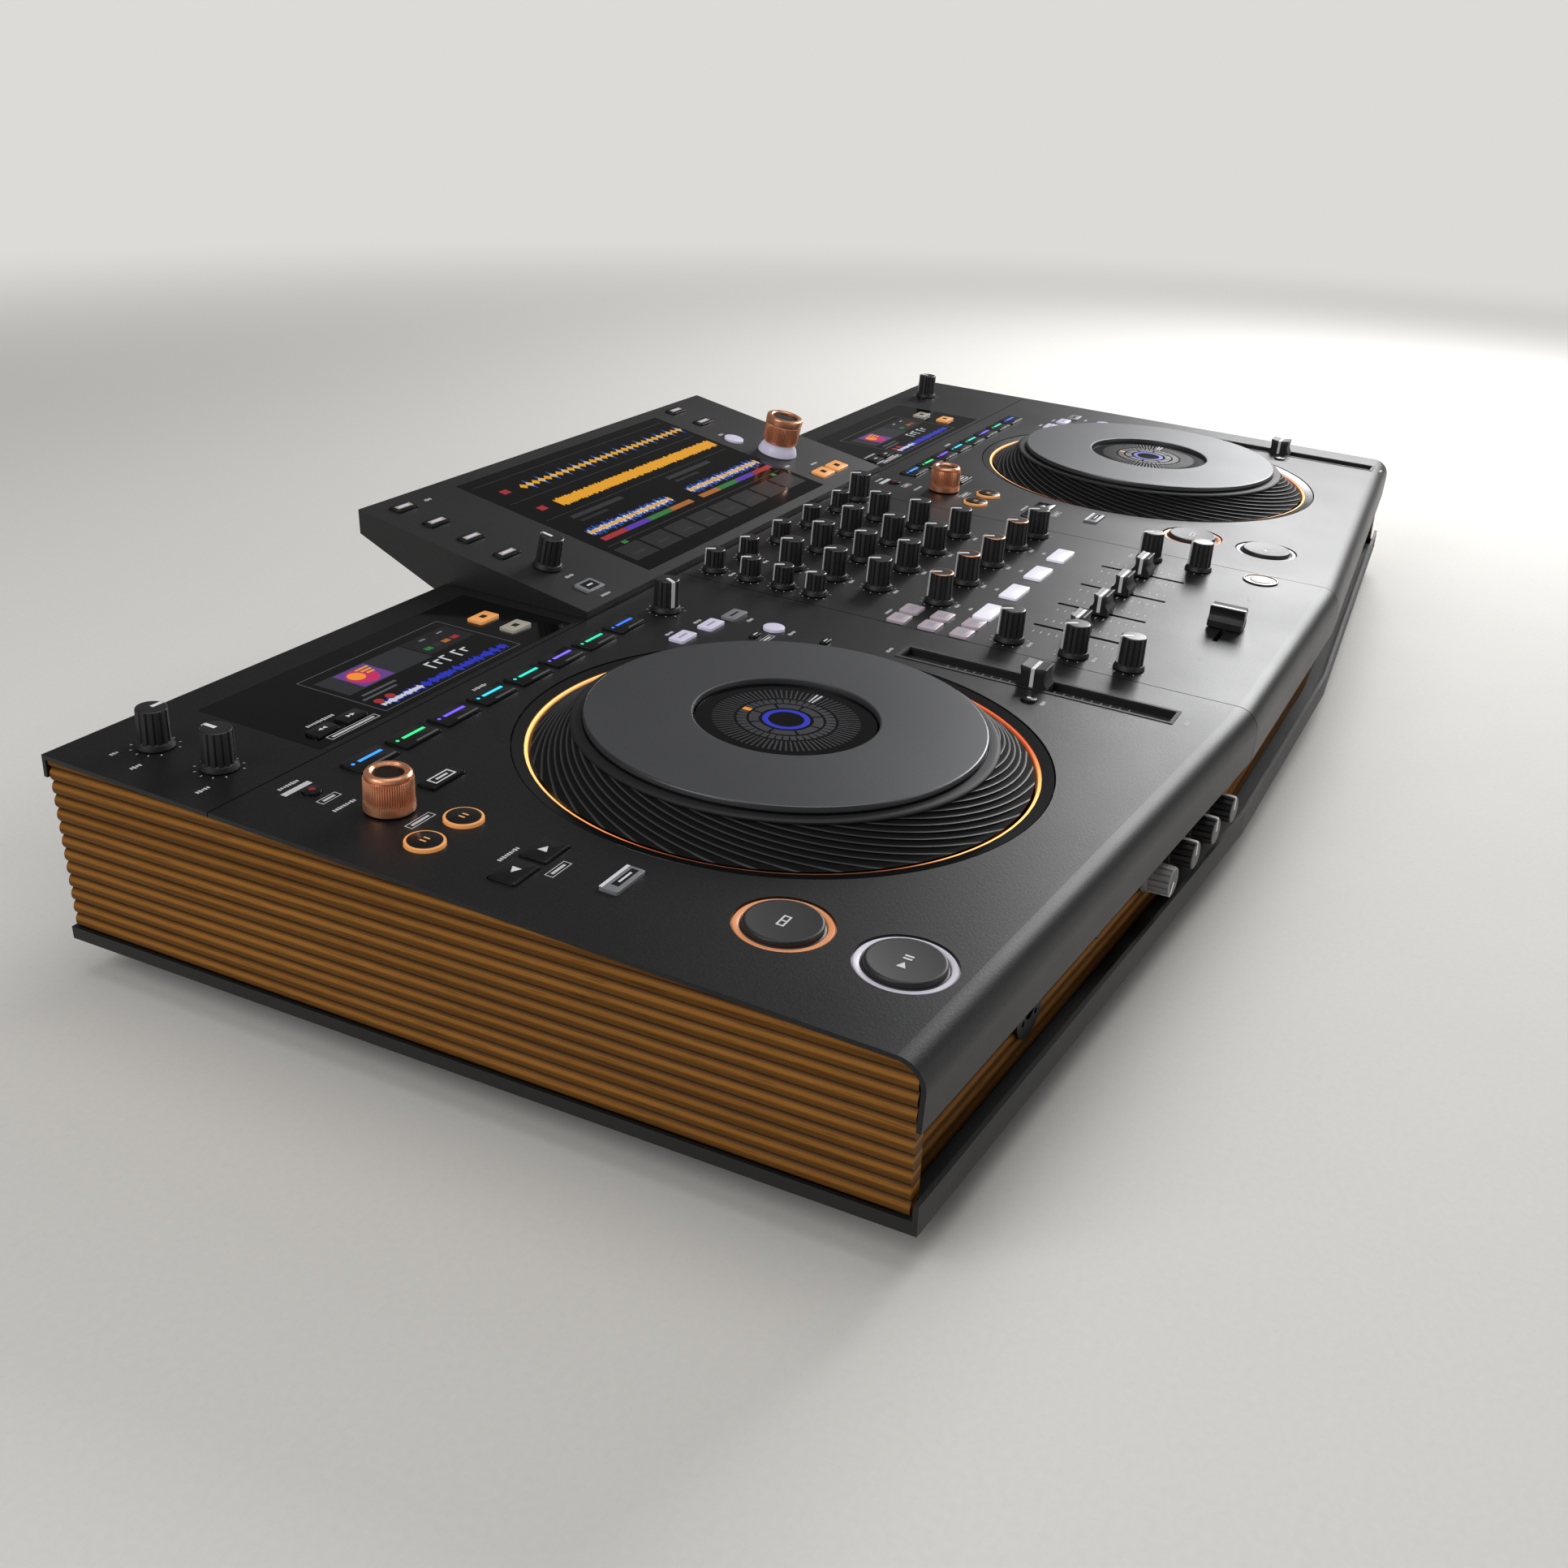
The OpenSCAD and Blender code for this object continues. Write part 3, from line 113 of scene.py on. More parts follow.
def camera_matrix():
    """The photo camera's place and turn, from its azimuth, elevation and roll."""
    back = Vector((
        math.sin(CAMERA_AZIMUTH) * math.cos(CAMERA_ELEVATION),
        -math.cos(CAMERA_AZIMUTH) * math.cos(CAMERA_ELEVATION),
        math.sin(CAMERA_ELEVATION)))
    right = UP.cross(back).normalized()
    over = back.cross(right)
    turn = Matrix((right, over, back)).transposed() @ Matrix.Rotation(CAMERA_ROLL, 3, "Z")
    return Matrix.Translation(CAMERA_AT) @ turn.to_4x4()


def softbox(name, at, target, width, depth, watts):
    """An area light that faces a target."""
    lamp = bpy.data.lights.new(name, "AREA")
    lamp.shape = "RECTANGLE"
    lamp.size = width
    lamp.size_y = depth
    lamp.energy = watts
    holder = bpy.data.objects.new(name, lamp)
    holder.location = at
    holder.rotation_euler = (Vector(at) - Vector(target)).to_track_quat("Z", "Y").to_euler()
    bpy.context.scene.collection.objects.link(holder)


eye = bpy.data.cameras.new("photo_camera")
eye.sensor_width = SENSOR_MM
eye.lens = FOCAL_PX / PHOTO_PX * SENSOR_MM
eye.clip_start = NEAREST
camera = bpy.data.objects.new("photo_camera", eye)
camera.matrix_world = camera_matrix()
bpy.context.scene.collection.objects.link(camera)
bpy.context.scene.camera = camera
bpy.context.scene.view_settings.view_transform = "Standard"

# Each light's name, place, target, width, depth and power, in metres and watts.
SOFTBOXES = [
    ("right_softbox", (1.7, -0.28, 0.95), (0.0, -0.1, 0.1), 1.0, 0.7, 30),
    ("left_softbox", (-1.7, 0.5, 1.2), (-0.3, 0.0, 0.05), 1.2, 1.2, 15),
    ("front_softbox", (0.3, -1.7, 0.5), (0.1, -0.2, 0.05), 1.4, 0.7, 4),
    ("top_softbox", (-0.1, -0.2, 2.2), (0.0, 0.0, 0.0), 2.0, 1.4, 15)]
for box in SOFTBOXES:
    softbox(*box)

PAPER_GLOW = colour("#eceae7")
ROOM_LIGHT, PAPER_LIGHT = 0.16, 0.86
FLOOR_HALF = 9.0
PAPER_NEAR, PAPER_FAR = 0.9, 2.6
world = bpy.data.worlds.new("studio")
bpy.context.scene.world = world
world.use_nodes = True
rays = add(world.node_tree, "ShaderNodeLightPath")
seen = add(world.node_tree, "ShaderNodeMapRange", {
    "Value": rays.outputs["Is Camera Ray"], "To Min": ROOM_LIGHT, "To Max": PAPER_LIGHT})
wire(world.node_tree, world.node_tree.nodes["Background"], {"Color": PAPER_GLOW, "Strength": seen})

sweep = bpy.data.meshes.new("floor")
sweep.from_pydata([(x, y, 0) for x, y in ((-1, -1), (1, -1), (1, 1), (-1, 1))], [], [(0, 1, 2, 3)])
sweep.transform(Matrix.Scale(FLOOR_HALF, 4))
# Matt backdrop paper: pale grey, evenly lit again where it runs up behind the console.
paper = grained("studio_paper", "#d9d7d3", "#e2e0dc", 3.0, 0.85, 0.05)
paper_tree = paper.node_tree
paper_place = add(paper_tree, "ShaderNodeTexCoord").outputs["Object"]
paper_way = add(paper_tree, "ShaderNodeVectorMath", {0: paper_place}, operation="LENGTH")
far_share = add(paper_tree, "ShaderNodeMapRange", {
    "Value": paper_way.outputs["Value"], "From Min": PAPER_NEAR,
    "From Max": PAPER_FAR}, interpolation_type="SMOOTHSTEP")
far_glow = add(paper_tree, "ShaderNodeEmission", {"Color": PAPER_GLOW, "Strength": PAPER_LIGHT})
paper_skin = add(paper_tree, "ShaderNodeMixShader", {
    0: far_share, 1: paper_tree.nodes["Principled BSDF"], 2: far_glow})
wire(paper_tree, paper_tree.nodes["Material Output"], {"Surface": paper_skin})
sweep.materials.append(paper)
floor = bpy.data.objects.new("floor", sweep)
bpy.context.scene.collection.objects.link(floor)


# Bottom tray and feet: a shallow tray of folded steel sheet carries the whole console. It is
# powder coated black, and six turned rubber feet stand under it on countersunk screws.
SHARP = math.radians(32)


def dress(node, finish):
    """Gives a CAD node its finish."""
    shown = frame["nodes"][node]
    for place in shown.material_slots:
        place.material = finish
    if not shown.material_slots:
        shown.data.materials.append(finish)


def settle(mesh, name, body, replaced=()):
    """Turns a finished mesh into a piece that rides on a body."""
    work = bmesh.new()
    work.from_mesh(mesh)
    bmesh.ops.recalc_face_normals(work, faces=work.faces)
    work.to_mesh(mesh)
    work.free()
    mesh.shade_smooth()
    mesh.set_sharp_from_angle(angle=SHARP)
    piece = bpy.data.objects.new(name, mesh)
    bpy.context.scene.collection.objects.link(piece)
    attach(piece, body)
    if replaced:
        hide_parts(*replaced)
    return piece


def size_tree(name, sizes):
    """Starts a geometry tree with named sizes and a finish, and returns it with its inputs."""
    tree = bpy.data.node_groups.new(name, "GeometryNodeTree")
    tree.interface.new_socket(name="Places", in_out="INPUT", socket_type="NodeSocketGeometry")
    for size in sizes:
        tree.interface.new_socket(name=size, in_out="INPUT", socket_type="NodeSocketFloat")
    tree.interface.new_socket(name="Finish", in_out="INPUT", socket_type="NodeSocketMaterial")
    tree.interface.new_socket(name="Pieces", in_out="OUTPUT", socket_type="NodeSocketGeometry")
    return tree, add(tree, "NodeGroupInput").outputs


def close_tree(tree, geometry, given):
    """Ends a tree in plain geometry with its finish."""
    plain = add(tree, "GeometryNodeRealizeInstances", {"Geometry": geometry})
    done = add(tree, "GeometryNodeSetMaterial", {"Geometry": plain, "Material": given["Finish"]})
    add(tree, "NodeGroupOutput", {"Pieces": done})


def grow(name, tree, places, sizes, finish, frame_of):
    """Runs a tree on a set of places, and returns its plain mesh in the console's frame."""
    seeds = bpy.data.meshes.new(name)
    seeds.from_pydata([tuple(p) + (0,) * (3 - len(p)) for p in places], [], [])
    holder = bpy.data.objects.new(name, seeds)
    bpy.context.scene.collection.objects.link(holder)
    grower = holder.modifiers.new(name, "NODES")
    grower.node_group = tree
    for item in tree.interface.items_tree:
        if item.in_out == "INPUT" and item.name in sizes:
            grower[item.identifier] = float(sizes[item.name])
        if item.in_out == "INPUT" and item.name == "Finish":
            grower[item.identifier] = finish
    ready = holder.evaluated_get(bpy.context.evaluated_depsgraph_get())
    grown = bpy.data.meshes.new_from_object(ready)
    holder.modifiers.remove(grower)
    bpy.data.objects.remove(holder)
    grown.transform(frame_of)
    return grown


def repeat(name, tree, places, sizes, finish, frame_of):
    """A piece of the casing that a tree repeats on its places."""
    settle(grow(name, tree, places, sizes, finish, frame_of), name, "console")


# A pan head with a hexagon socket, on each place, standing along its frame's Z axis.
HEAD_TAPER, SOCKET_LIFT = 0.78, 0.6
screw_tree, given = size_tree("screws", ["Head Radius", "Head Height", "Socket Radius"])
head = add(screw_tree, "GeometryNodeMeshCone", {
    "Vertices": 24, "Radius Bottom": given["Head Radius"], "Depth": given["Head Height"]})
narrow = add(screw_tree, "ShaderNodeMath", {0: given["Head Radius"], 1: HEAD_TAPER}, operation="MULTIPLY")
wire(screw_tree, head, {"Radius Top": narrow})
socket = add(screw_tree, "GeometryNodeMeshCylinder", {
    "Vertices": 6, "Radius": given["Socket Radius"], "Depth": given["Head Height"]})
half = add(screw_tree, "ShaderNodeMath", {0: given["Head Height"], 1: SOCKET_LIFT}, operation="MULTIPLY")
raised = add(screw_tree, "ShaderNodeCombineXYZ", {"Z": half})
lifted = add(screw_tree, "GeometryNodeTransform", {"Geometry": socket, "Translation": raised})
drilled = add(screw_tree, "GeometryNodeMeshBoolean", {
    "Mesh 1": head, "Mesh 2": lifted}, operation="DIFFERENCE")
set_screws = add(screw_tree, "GeometryNodeInstanceOnPoints", {
    "Points": given["Places"], "Instance": drilled})
close_tree(screw_tree, set_screws, given)
SCREW = {"Head Radius": 2.9, "Head Height": 1.8, "Socket Radius": 1.1}

# Powder-coated steel: black, with a fine even orange peel that breaks up its highlights.
tray_coat = grained("black_powder_coat", "#070708", "#101011", 1.1, 0.55, 0.35)
# Moulded nitrile rubber: dull black, greyer where it is rubbed.
foot_rubber = grained("moulded_rubber", "#111112", "#1d1d1e", 1.6, 0.8, 0.2)
# Zinc-plated steel, black passivated: small dark metal heads with a soft shine.
screw_steel = grained("black_zinc_steel", "#2a2a2c", "#3c3c3f", 0.8, 0.34, 0.05, 0.9)
dress("bottom_tray", tray_coat)
dress("feet", foot_rubber)

tray_low, tray_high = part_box("bottom_tray")
EDGE_INSET, FRONT_SCREWS, SIDE_SCREWS = 22, 195, (-70, 60)
tray_half = tray_high.x / MM - EDGE_INSET
tray_rear = tray_high.y / MM - EDGE_INSET
UNDER_TRAY = Matrix.Translation((0, 0, tray_low.z)) @ Matrix.Rotation(math.pi, 4, "X") @ Matrix.Scale(MM, 4)
under_places = [(tray_half * k / 3, y) for y in (-tray_rear, FRONT_SCREWS) for k in range(-3, 4)]
under_places += [(side * tray_half, y) for side in (-1, 1) for y in SIDE_SCREWS]
repeat("tray_screws", screw_tree, under_places, SCREW, screw_steel, UNDER_TRAY)


# Ribbed trims: strips of timber with half-round ribs, milled along their length, clad both sides
# and the recessed front. They are stained golden brown and oiled, and are screwed on from inside.
RIB_PITCH = 6.5
# Painted shade across each rib, from its foot to its top: how much of the wood's own colour shows; the rest
# is painted dark, darkest in the grooves and darker on the lower flank, where shade falls under light from
# above.
RIB_SHADE_PROFILE = [(0.0, 0.05), (0.12, 0.42), (0.5, 0.46), (0.72, 1.0), (0.88, 0.6), (1.0, 0.05)]


def ribbed_wood(name, grain_axis, base_z):
    """Stained oak: grain along the ribs, dark pores, and painted shade in the grooves and on each rib's lower
    flank.
    """
    made, tree, shader = surface(name)
    place = add(tree, "ShaderNodeTexCoord").outputs["Object"]
    stretch = [1.0, 1.0, 1.0]
    stretch[grain_axis] = 0.04
    along = add(tree, "ShaderNodeMapping", {"Vector": place, "Scale": stretch})
    figure = add(tree, "ShaderNodeTexNoise", {
        "Vector": along, "Scale": 1 / (9 * MM), "Detail": 5.0, "Distortion": 0.4})
    pores = add(tree, "ShaderNodeTexNoise", {"Vector": along, "Scale": 1 / (0.8 * MM), "Detail": 2.0})
    height = add(tree, "ShaderNodeSeparateXYZ", {"Vector": place}).outputs["Z"]
    turns = add(tree, "ShaderNodeMath", {
        0: height, 1: 1 / (RIB_PITCH * MM), 2: -base_z / (RIB_PITCH * MM)}, operation="MULTIPLY_ADD")
    part = add(tree, "ShaderNodeMath", {0: turns}, operation="FRACT")
    rib_shade = add(tree, "ShaderNodeFloatCurve", {"Value": part})
    curve = rib_shade.mapping.curves[0]
    for at, share in RIB_SHADE_PROFILE[1:-1]:
        curve.points.new(at, share)
    curve.points[0].location = RIB_SHADE_PROFILE[0]
    curve.points[-1].location = RIB_SHADE_PROFILE[-1]
    rib_shade.mapping.update()
    grain = add(tree, "ShaderNodeMix", {
        0: figure, 6: colour("#6e4312"), 7: colour("#ad7634")}, data_type="RGBA").outputs[2]
    flecks = add(tree, "ShaderNodeMapRange", {"Value": pores, "From Min": 0.55, "From Max": 0.75})
    fleck_share = add(tree, "ShaderNodeMath", {0: flecks, 1: 0.5}, operation="MULTIPLY")
    pored = add(tree, "ShaderNodeMix", {
        0: fleck_share, 6: grain, 7: colour("#3a2109")}, data_type="RGBA").outputs[2]
    # Painted shade: the wood's colour is mixed towards near black in the grooves and on each rib's lower
    # flank.
    shaded = add(tree, "ShaderNodeMix", {
        0: rib_shade, 6: colour("#140a02"), 7: pored}, data_type="RGBA").outputs[2]
    lift = add(tree, "ShaderNodeBump", {"Height": pores, "Strength": 0.25, "Distance": 0.1 * MM})
    sheen = add(tree, "ShaderNodeMapRange", {"Value": figure, "To Min": 0.36, "To Max": 0.52})
    wire(tree, shader, {
        "Base Color": shaded, "Roughness": sheen, "Normal": lift,
        "Specular IOR Level": 0.08})
    return made


TRAY_EDGE, TRAY_SHEET = 6, 2
side_wood_base = tray_low.z + TRAY_EDGE * MM
front_wood_base = tray_low.z + TRAY_SHEET * MM
dress("side_trims", ribbed_wood("stained_oak_sides", 1, side_wood_base))
dress("front_trim", ribbed_wood("stained_oak_front", 0, front_wood_base))


# Inside: glass-fibre boards under each panel carry the potentiometers, fader units and switches.
# They are hidden in use, and show only through the slots and round the knobs.
# Solder mask over glass fibre: dark green, mottled by the copper under it.
solder_mask = grained("green_solder_mask", "#123524", "#22573c", 2.5, 0.32, 0.1)
# Stamped and nickel-plated steel: dull grey metal cases.
pot_steel = grained("nickel_plated_steel", "#55575b", "#7d7f84", 1.5, 0.38, 0.08, 0.9)
dress("circuit_boards", solder_mask)
dress("control_units", pot_steel)


# Rear panel and sockets: a flat steel sheet behind the trims, with the outputs, inputs and the
# mains inlet screwed to it from behind. The socket shells are moulded nylon.
# Glass-filled nylon: grey-black, faintly mottled and satin.
socket_nylon = grained("glass_filled_nylon", "#141415", "#212123", 0.9, 0.46, 0.15)
dress("rear_panel", tray_coat)
dress("sockets", socket_nylon)
rear_low, rear_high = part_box("rear_panel")
REAR_FACE = Matrix.Translation((0, rear_high.y, rear_low.z)) @ Matrix.Rotation(-math.pi / 2, 4, "X")
REAR_FACE = REAR_FACE @ Matrix.Scale(MM, 4)
REAR_INSET, REAR_RISE = 12, 70
rear_half = rear_high.x / MM - REAR_INSET
rear_places = [(rear_half * k / 4, -REAR_INSET) for k in range(-4, 5)]
rear_places += [(side * rear_half, -REAR_RISE) for side in (-1, 1)]
repeat("rear_screws", screw_tree, rear_places, SCREW, screw_steel, REAR_FACE)


# Top panels: folded steel sheets, one to each deck and one to the mixer, with two flat strips at
# the rear. They are sprayed with a charcoal paint that holds fine metal flake.
# Flake paint: dark charcoal with a fine sparkle, drawn coarser than real so that it shows.
panel_paint = grained("charcoal_flake_paint", "#080809", "#2a2a2c", 1.1, 0.42, 0.2, 0.45)
for panel in ("left_deck_panel", "mixer_panel", "right_deck_panel", "rear_strips"):
    dress(panel, panel_paint)

JOG_U, JOG_S = 196, 155
DECK_W = 375.25
CHANNEL_PITCH = 43
CHANNELS = [(i - 1.5) * CHANNEL_PITCH for i in range(4)]
COLUMN_X = 98
ROWS = {"high": 269, "mid": 240, "low": 211, "filter": 172}
TRIM_ROW = 298
X_AXIS = Vector((1, 0, 0))
joint_of = {joint["child"]: joint for joint in frame["joints"]}


def panel_frame(body, u, s):
    """A panel's own frame in millimetres, found from a joint that stands at u, s on it."""
    out = Vector(joint_of[body]["axis"])
    along = out.cross(X_AXIS)
    at = Vector(joint_of[body]["pos_m"]) - (X_AXIS * u + along * s) * MM
    axes = Matrix((X_AXIS, along, out)).transposed().to_4x4()
    return Matrix.Translation(at) @ axes @ Matrix.Scale(MM, 4)


LEFT_DECK = panel_frame("left_jog", JOG_U, JOG_S)
RIGHT_DECK = panel_frame("right_jog", JOG_U, JOG_S)
MIXER = panel_frame("high_1", CHANNELS[0], ROWS["high"])
DECKS = {"left": LEFT_DECK, "right": RIGHT_DECK}


def spot(base, u, s, h=0, turn=0):
    """A place on a panel, turned about its upright."""
    return base @ Matrix.Translation((u, s, h)) @ Matrix.Rotation(math.radians(turn), 4, "Z")


# Panel print: ticks round the knobs and beside the faders, short bars and plain outlines, screen
# printed on the paint in one pass of pale grey ink.
# Two-part ink: pale grey, matt, a little thin in places so that the paint shows.
print_ink = grained("pale_screen_print_ink", "#a9a9ac", "#d6d6d8", 0.5, 0.6, 0.05)
INK_H = 0.12


def polar(tree, degrees, radius):
    """Adds the sums for a turn at a radius, and returns the turn in radians, X and Y."""
    angle = add(tree, "ShaderNodeMath", {0: degrees}, operation="RADIANS")
    out = [angle]
    for part in ("COSINE", "SINE"):
        share = add(tree, "ShaderNodeMath", {0: angle}, operation=part)
        out.append(add(tree, "ShaderNodeMath", {0: share, 1: radius}, operation="MULTIPLY"))
    return out


# Ticks on an arc round each place: the arc's radius, start and sweep, and a tick's size.
dial_tree, given = size_tree("dial_ticks", [
    "Count", "Radius", "Start", "Sweep", "Length", "Width", "Height"])
index = add(dial_tree, "GeometryNodeInputIndex")
gaps = add(dial_tree, "ShaderNodeMath", {0: given["Count"], 1: 1.0}, operation="SUBTRACT")
share = add(dial_tree, "ShaderNodeMath", {0: index, 1: gaps}, operation="DIVIDE")
degrees = add(dial_tree, "ShaderNodeMath", {
    0: share, 1: given["Sweep"], 2: given["Start"]}, operation="MULTIPLY_ADD")
angle, out_x, out_y = polar(dial_tree, degrees, given["Radius"])
on_arc = add(dial_tree, "ShaderNodeCombineXYZ", {"X": out_x, "Y": out_y})
row = add(dial_tree, "GeometryNodeMeshLine", {"Count": given["Count"]})
bent = add(dial_tree, "GeometryNodeSetPosition", {"Geometry": row, "Position": on_arc})
tick_size = add(dial_tree, "ShaderNodeCombineXYZ", {
    "X": given["Length"], "Y": given["Width"], "Z": given["Height"]})
tick = add(dial_tree, "GeometryNodeMeshCube", {"Size": tick_size})
euler = add(dial_tree, "ShaderNodeCombineXYZ", {"Z": angle})
facing = add(dial_tree, "FunctionNodeEulerToRotation", {"Euler": euler})
dial = add(dial_tree, "GeometryNodeInstanceOnPoints", {
    "Points": bent, "Instance": tick, "Rotation": facing})
dials = add(dial_tree, "GeometryNodeInstanceOnPoints", {"Points": given["Places"], "Instance": dial})
close_tree(dial_tree, dials, given)

# Bars in a row from each place along X, each a chance height about the row: the waves of a
# display, or with no chance at all the ticks of a scale.
bar_tree, given = size_tree("bar_rows", [
    "Count", "Spacing", "Width", "Least", "Most", "Swell", "Height", "Seed"])
index = add(bar_tree, "GeometryNodeInputIndex")
step = add(bar_tree, "ShaderNodeCombineXYZ", {"X": given["Spacing"]})
row = add(bar_tree, "GeometryNodeMeshLine", {"Count": given["Count"], "Offset": step})
swell_at = add(bar_tree, "ShaderNodeMath", {0: index, 1: given["Swell"]}, operation="MULTIPLY")
chance = add(bar_tree, "ShaderNodeCombineXYZ", {"X": swell_at, "Y": given["Seed"]})
noise = add(bar_tree, "ShaderNodeTexNoise", {
    "Vector": chance, "Scale": 1.0, "Detail": 2.0}, noise_dimensions="2D")
tall = add(bar_tree, "ShaderNodeMapRange", {
    "Value": noise, "From Min": 0.36, "From Max": 0.64, "To Min": given["Least"], "To Max": given["Most"]})
bar_scale = add(bar_tree, "ShaderNodeCombineXYZ", {"X": given["Width"], "Y": tall, "Z": given["Height"]})
unit = add(bar_tree, "GeometryNodeMeshCube", {"Size": (1.0, 1.0, 1.0)})
bars = add(bar_tree, "GeometryNodeInstanceOnPoints", {
    "Points": row, "Instance": unit, "Scale": bar_scale})
rows = add(bar_tree, "GeometryNodeInstanceOnPoints", {"Points": given["Places"], "Instance": bars})
close_tree(bar_tree, rows, given)

KNOB_R, KNOB_H = 7.2, 18
SMALL_R, SMALL_H = 6, 13
TALL_COLUMN = [(-COLUMN_X, s) for s in (116, 79, 48)]
SMALL_COLUMN = [(-COLUMN_X, s) for s in (303, 279, 257, 236)]
RIGHT_COLUMN = [(COLUMN_X, s) for s in (299, 169, 92, 60)]
STRIP_KNOBS = [(33.5, 343), (33.5, 380)]
CORNER_KNOB = (316, 291)
RIGHT_STRIP_KNOB = (315, 388)
mixer_tall = [(x, s) for x in CHANNELS for s in ROWS.values()] + TALL_COLUMN + RIGHT_COLUMN
mixer_small = [(x, TRIM_ROW) for x in CHANNELS] + SMALL_COLUMN
TALL_REACH, SMALL_REACH = KNOB_R + 3.2, SMALL_R + 2.8
DIAL = {"Count": 11, "Start": -60, "Sweep": 300, "Length": 1.1, "Width": 0.5, "Height": INK_H}
for name, places, reach, base in (
        ("tall_dials", mixer_tall, TALL_REACH, MIXER),
        ("small_dials", mixer_small, SMALL_REACH, MIXER),
        ("left_strip_dials", STRIP_KNOBS + [CORNER_KNOB], TALL_REACH, LEFT_DECK),
        ("right_strip_dials", [RIGHT_STRIP_KNOB], TALL_REACH, RIGHT_DECK)):
    repeat(name, dial_tree, places, dict(DIAL, Radius=reach), print_ink, base)

FADER_S, CROSS_S = 87, 19
TEMPO_U, TEMPO_S = DECK_W - 35, 83
SCALE_START, SCALE_ASIDE = FADER_S - 23, 11
ASIDE = Matrix.Rotation(math.pi / 2, 4, "Z")
SCALE_ROW = {
    "Count": 11, "Spacing": 4.6, "Width": 0.5, "Least": 3.4, "Most": 3.4, "Swell": 1, "Height": INK_H,
    "Seed": 1}
fader_scales = [(SCALE_START, -(x + side * SCALE_ASIDE)) for x in CHANNELS for side in (-1, 1)]
repeat("fader_scales", bar_tree, fader_scales, SCALE_ROW, print_ink, MIXER @ ASIDE)


# Jog housings: a moulded dish under each opening, with the post that the wheel turns on and a
# glossy rim that closes the gap in the panel.
# Polished ABS: deep black, with a clear highlight and faint sink marks.
gloss_abs = grained("polished_black_abs", "#08080a", "#121214", 1.4, 0.2, 0.05)
dress("jog_housings", gloss_abs)


def ring(r, z, count):
    """Points of a level circle about the Z axis."""
    turns = [math.tau * i / count for i in range(count)]
    return [(r * math.cos(turn), r * math.sin(turn), z) for turn in turns]


def skin(rings, loop=False):
    """Joins rings of points by faces: capped at both ends, or closed on itself."""
    count = len(rings[0])
    last = len(rings) if loop else len(rings) - 1
    faces = []
    for k in range(last):
        low, high = k * count, (k + 1) % len(rings) * count
        faces += [(low + i, low + (i + 1) % count, high + (i + 1) % count, high + i) for i in range(count)]
    if not loop:
        faces += [tuple(range(count))[::-1], tuple(range(last * count, (last + 1) * count))]
    return [p for points in rings for p in points], faces


def turned(profile, count=96, loop=False):
    """A shape turned round the Z axis, from radius and height."""
    return skin([ring(r, z, count) for r, z in profile], loop)


def about(r, z, offsets):
    """Points of a profile, each given by how far it lies from a radius and a height."""
    return [(r + out, z + up, *deep) for out, up, *deep in offsets]


def assemble(name, body, chunks, replaced=()):
    """One piece from closed shapes, each with its place and its finish."""
    mesh = bpy.data.meshes.new(name)
    points, faces, picks, used = [], [], [], []
    for (shape_points, shape_faces), place, finish in chunks:
        first = len(points)
        points += [place @ Vector(p) for p in shape_points]
        faces += [[first + i for i in face] for face in shape_faces]
        if finish not in used:
            used.append(finish)
        picks += [used.index(finish)] * len(shape_faces)
    mesh.from_pydata(points, [], faces)
    for finish in used:
        mesh.materials.append(finish)
    mesh.polygons.foreach_set("material_index", picks)
    return settle(mesh, name, body, replaced)


# Light rings: frosted acrylic guides, lit from under the panel. One runs round each jog wheel,
# and one round each cue and play button.
CUE_AT, PLAY_AT = (54, 82), (54, 32)
CUE_R, CUE_RING = 16.6, 2.8
RING_R = 119
# Two lamps stand under each jog ring, at its rear left and at its front. Between them, on the near front left
# that faces the camera, the glow is painted dim as painted shade. Each row is a direction and how far round
# from it its share reaches: the painted shade first, then the two lamps' light.
PAINTED_SHADE_WAY = Vector((-0.895, -0.447, 0))
REAR_LAMP, FRONT_LAMP = Vector((-0.447, 0.895, 0)), Vector((-0.1, -0.995, 0))
LAMP_REACH = [(PAINTED_SHADE_WAY, 0.78, 1.0), (REAR_LAMP, 0.35, 1.0), (FRONT_LAMP, 0.7, 1.0)]


def lit(name, code, glow, cell_mm=0.6):
    """A lit plastic or a lit patch of a display, a little uneven as its light is."""
    made, tree, shader = surface(name)
    place = add(tree, "ShaderNodeTexCoord").outputs["Object"]
    cells = add(tree, "ShaderNodeTexNoise", {"Vector": place, "Scale": 1 / (cell_mm * MM)})
    level = add(tree, "ShaderNodeMapRange", {"Value": cells, "To Min": glow * 0.8, "To Max": glow * 1.15})
    wire(tree, shader, {
        "Base Color": colour(code), "Emission Color": colour(code), "Emission Strength": level,
        "Roughness": 0.35})
    return made


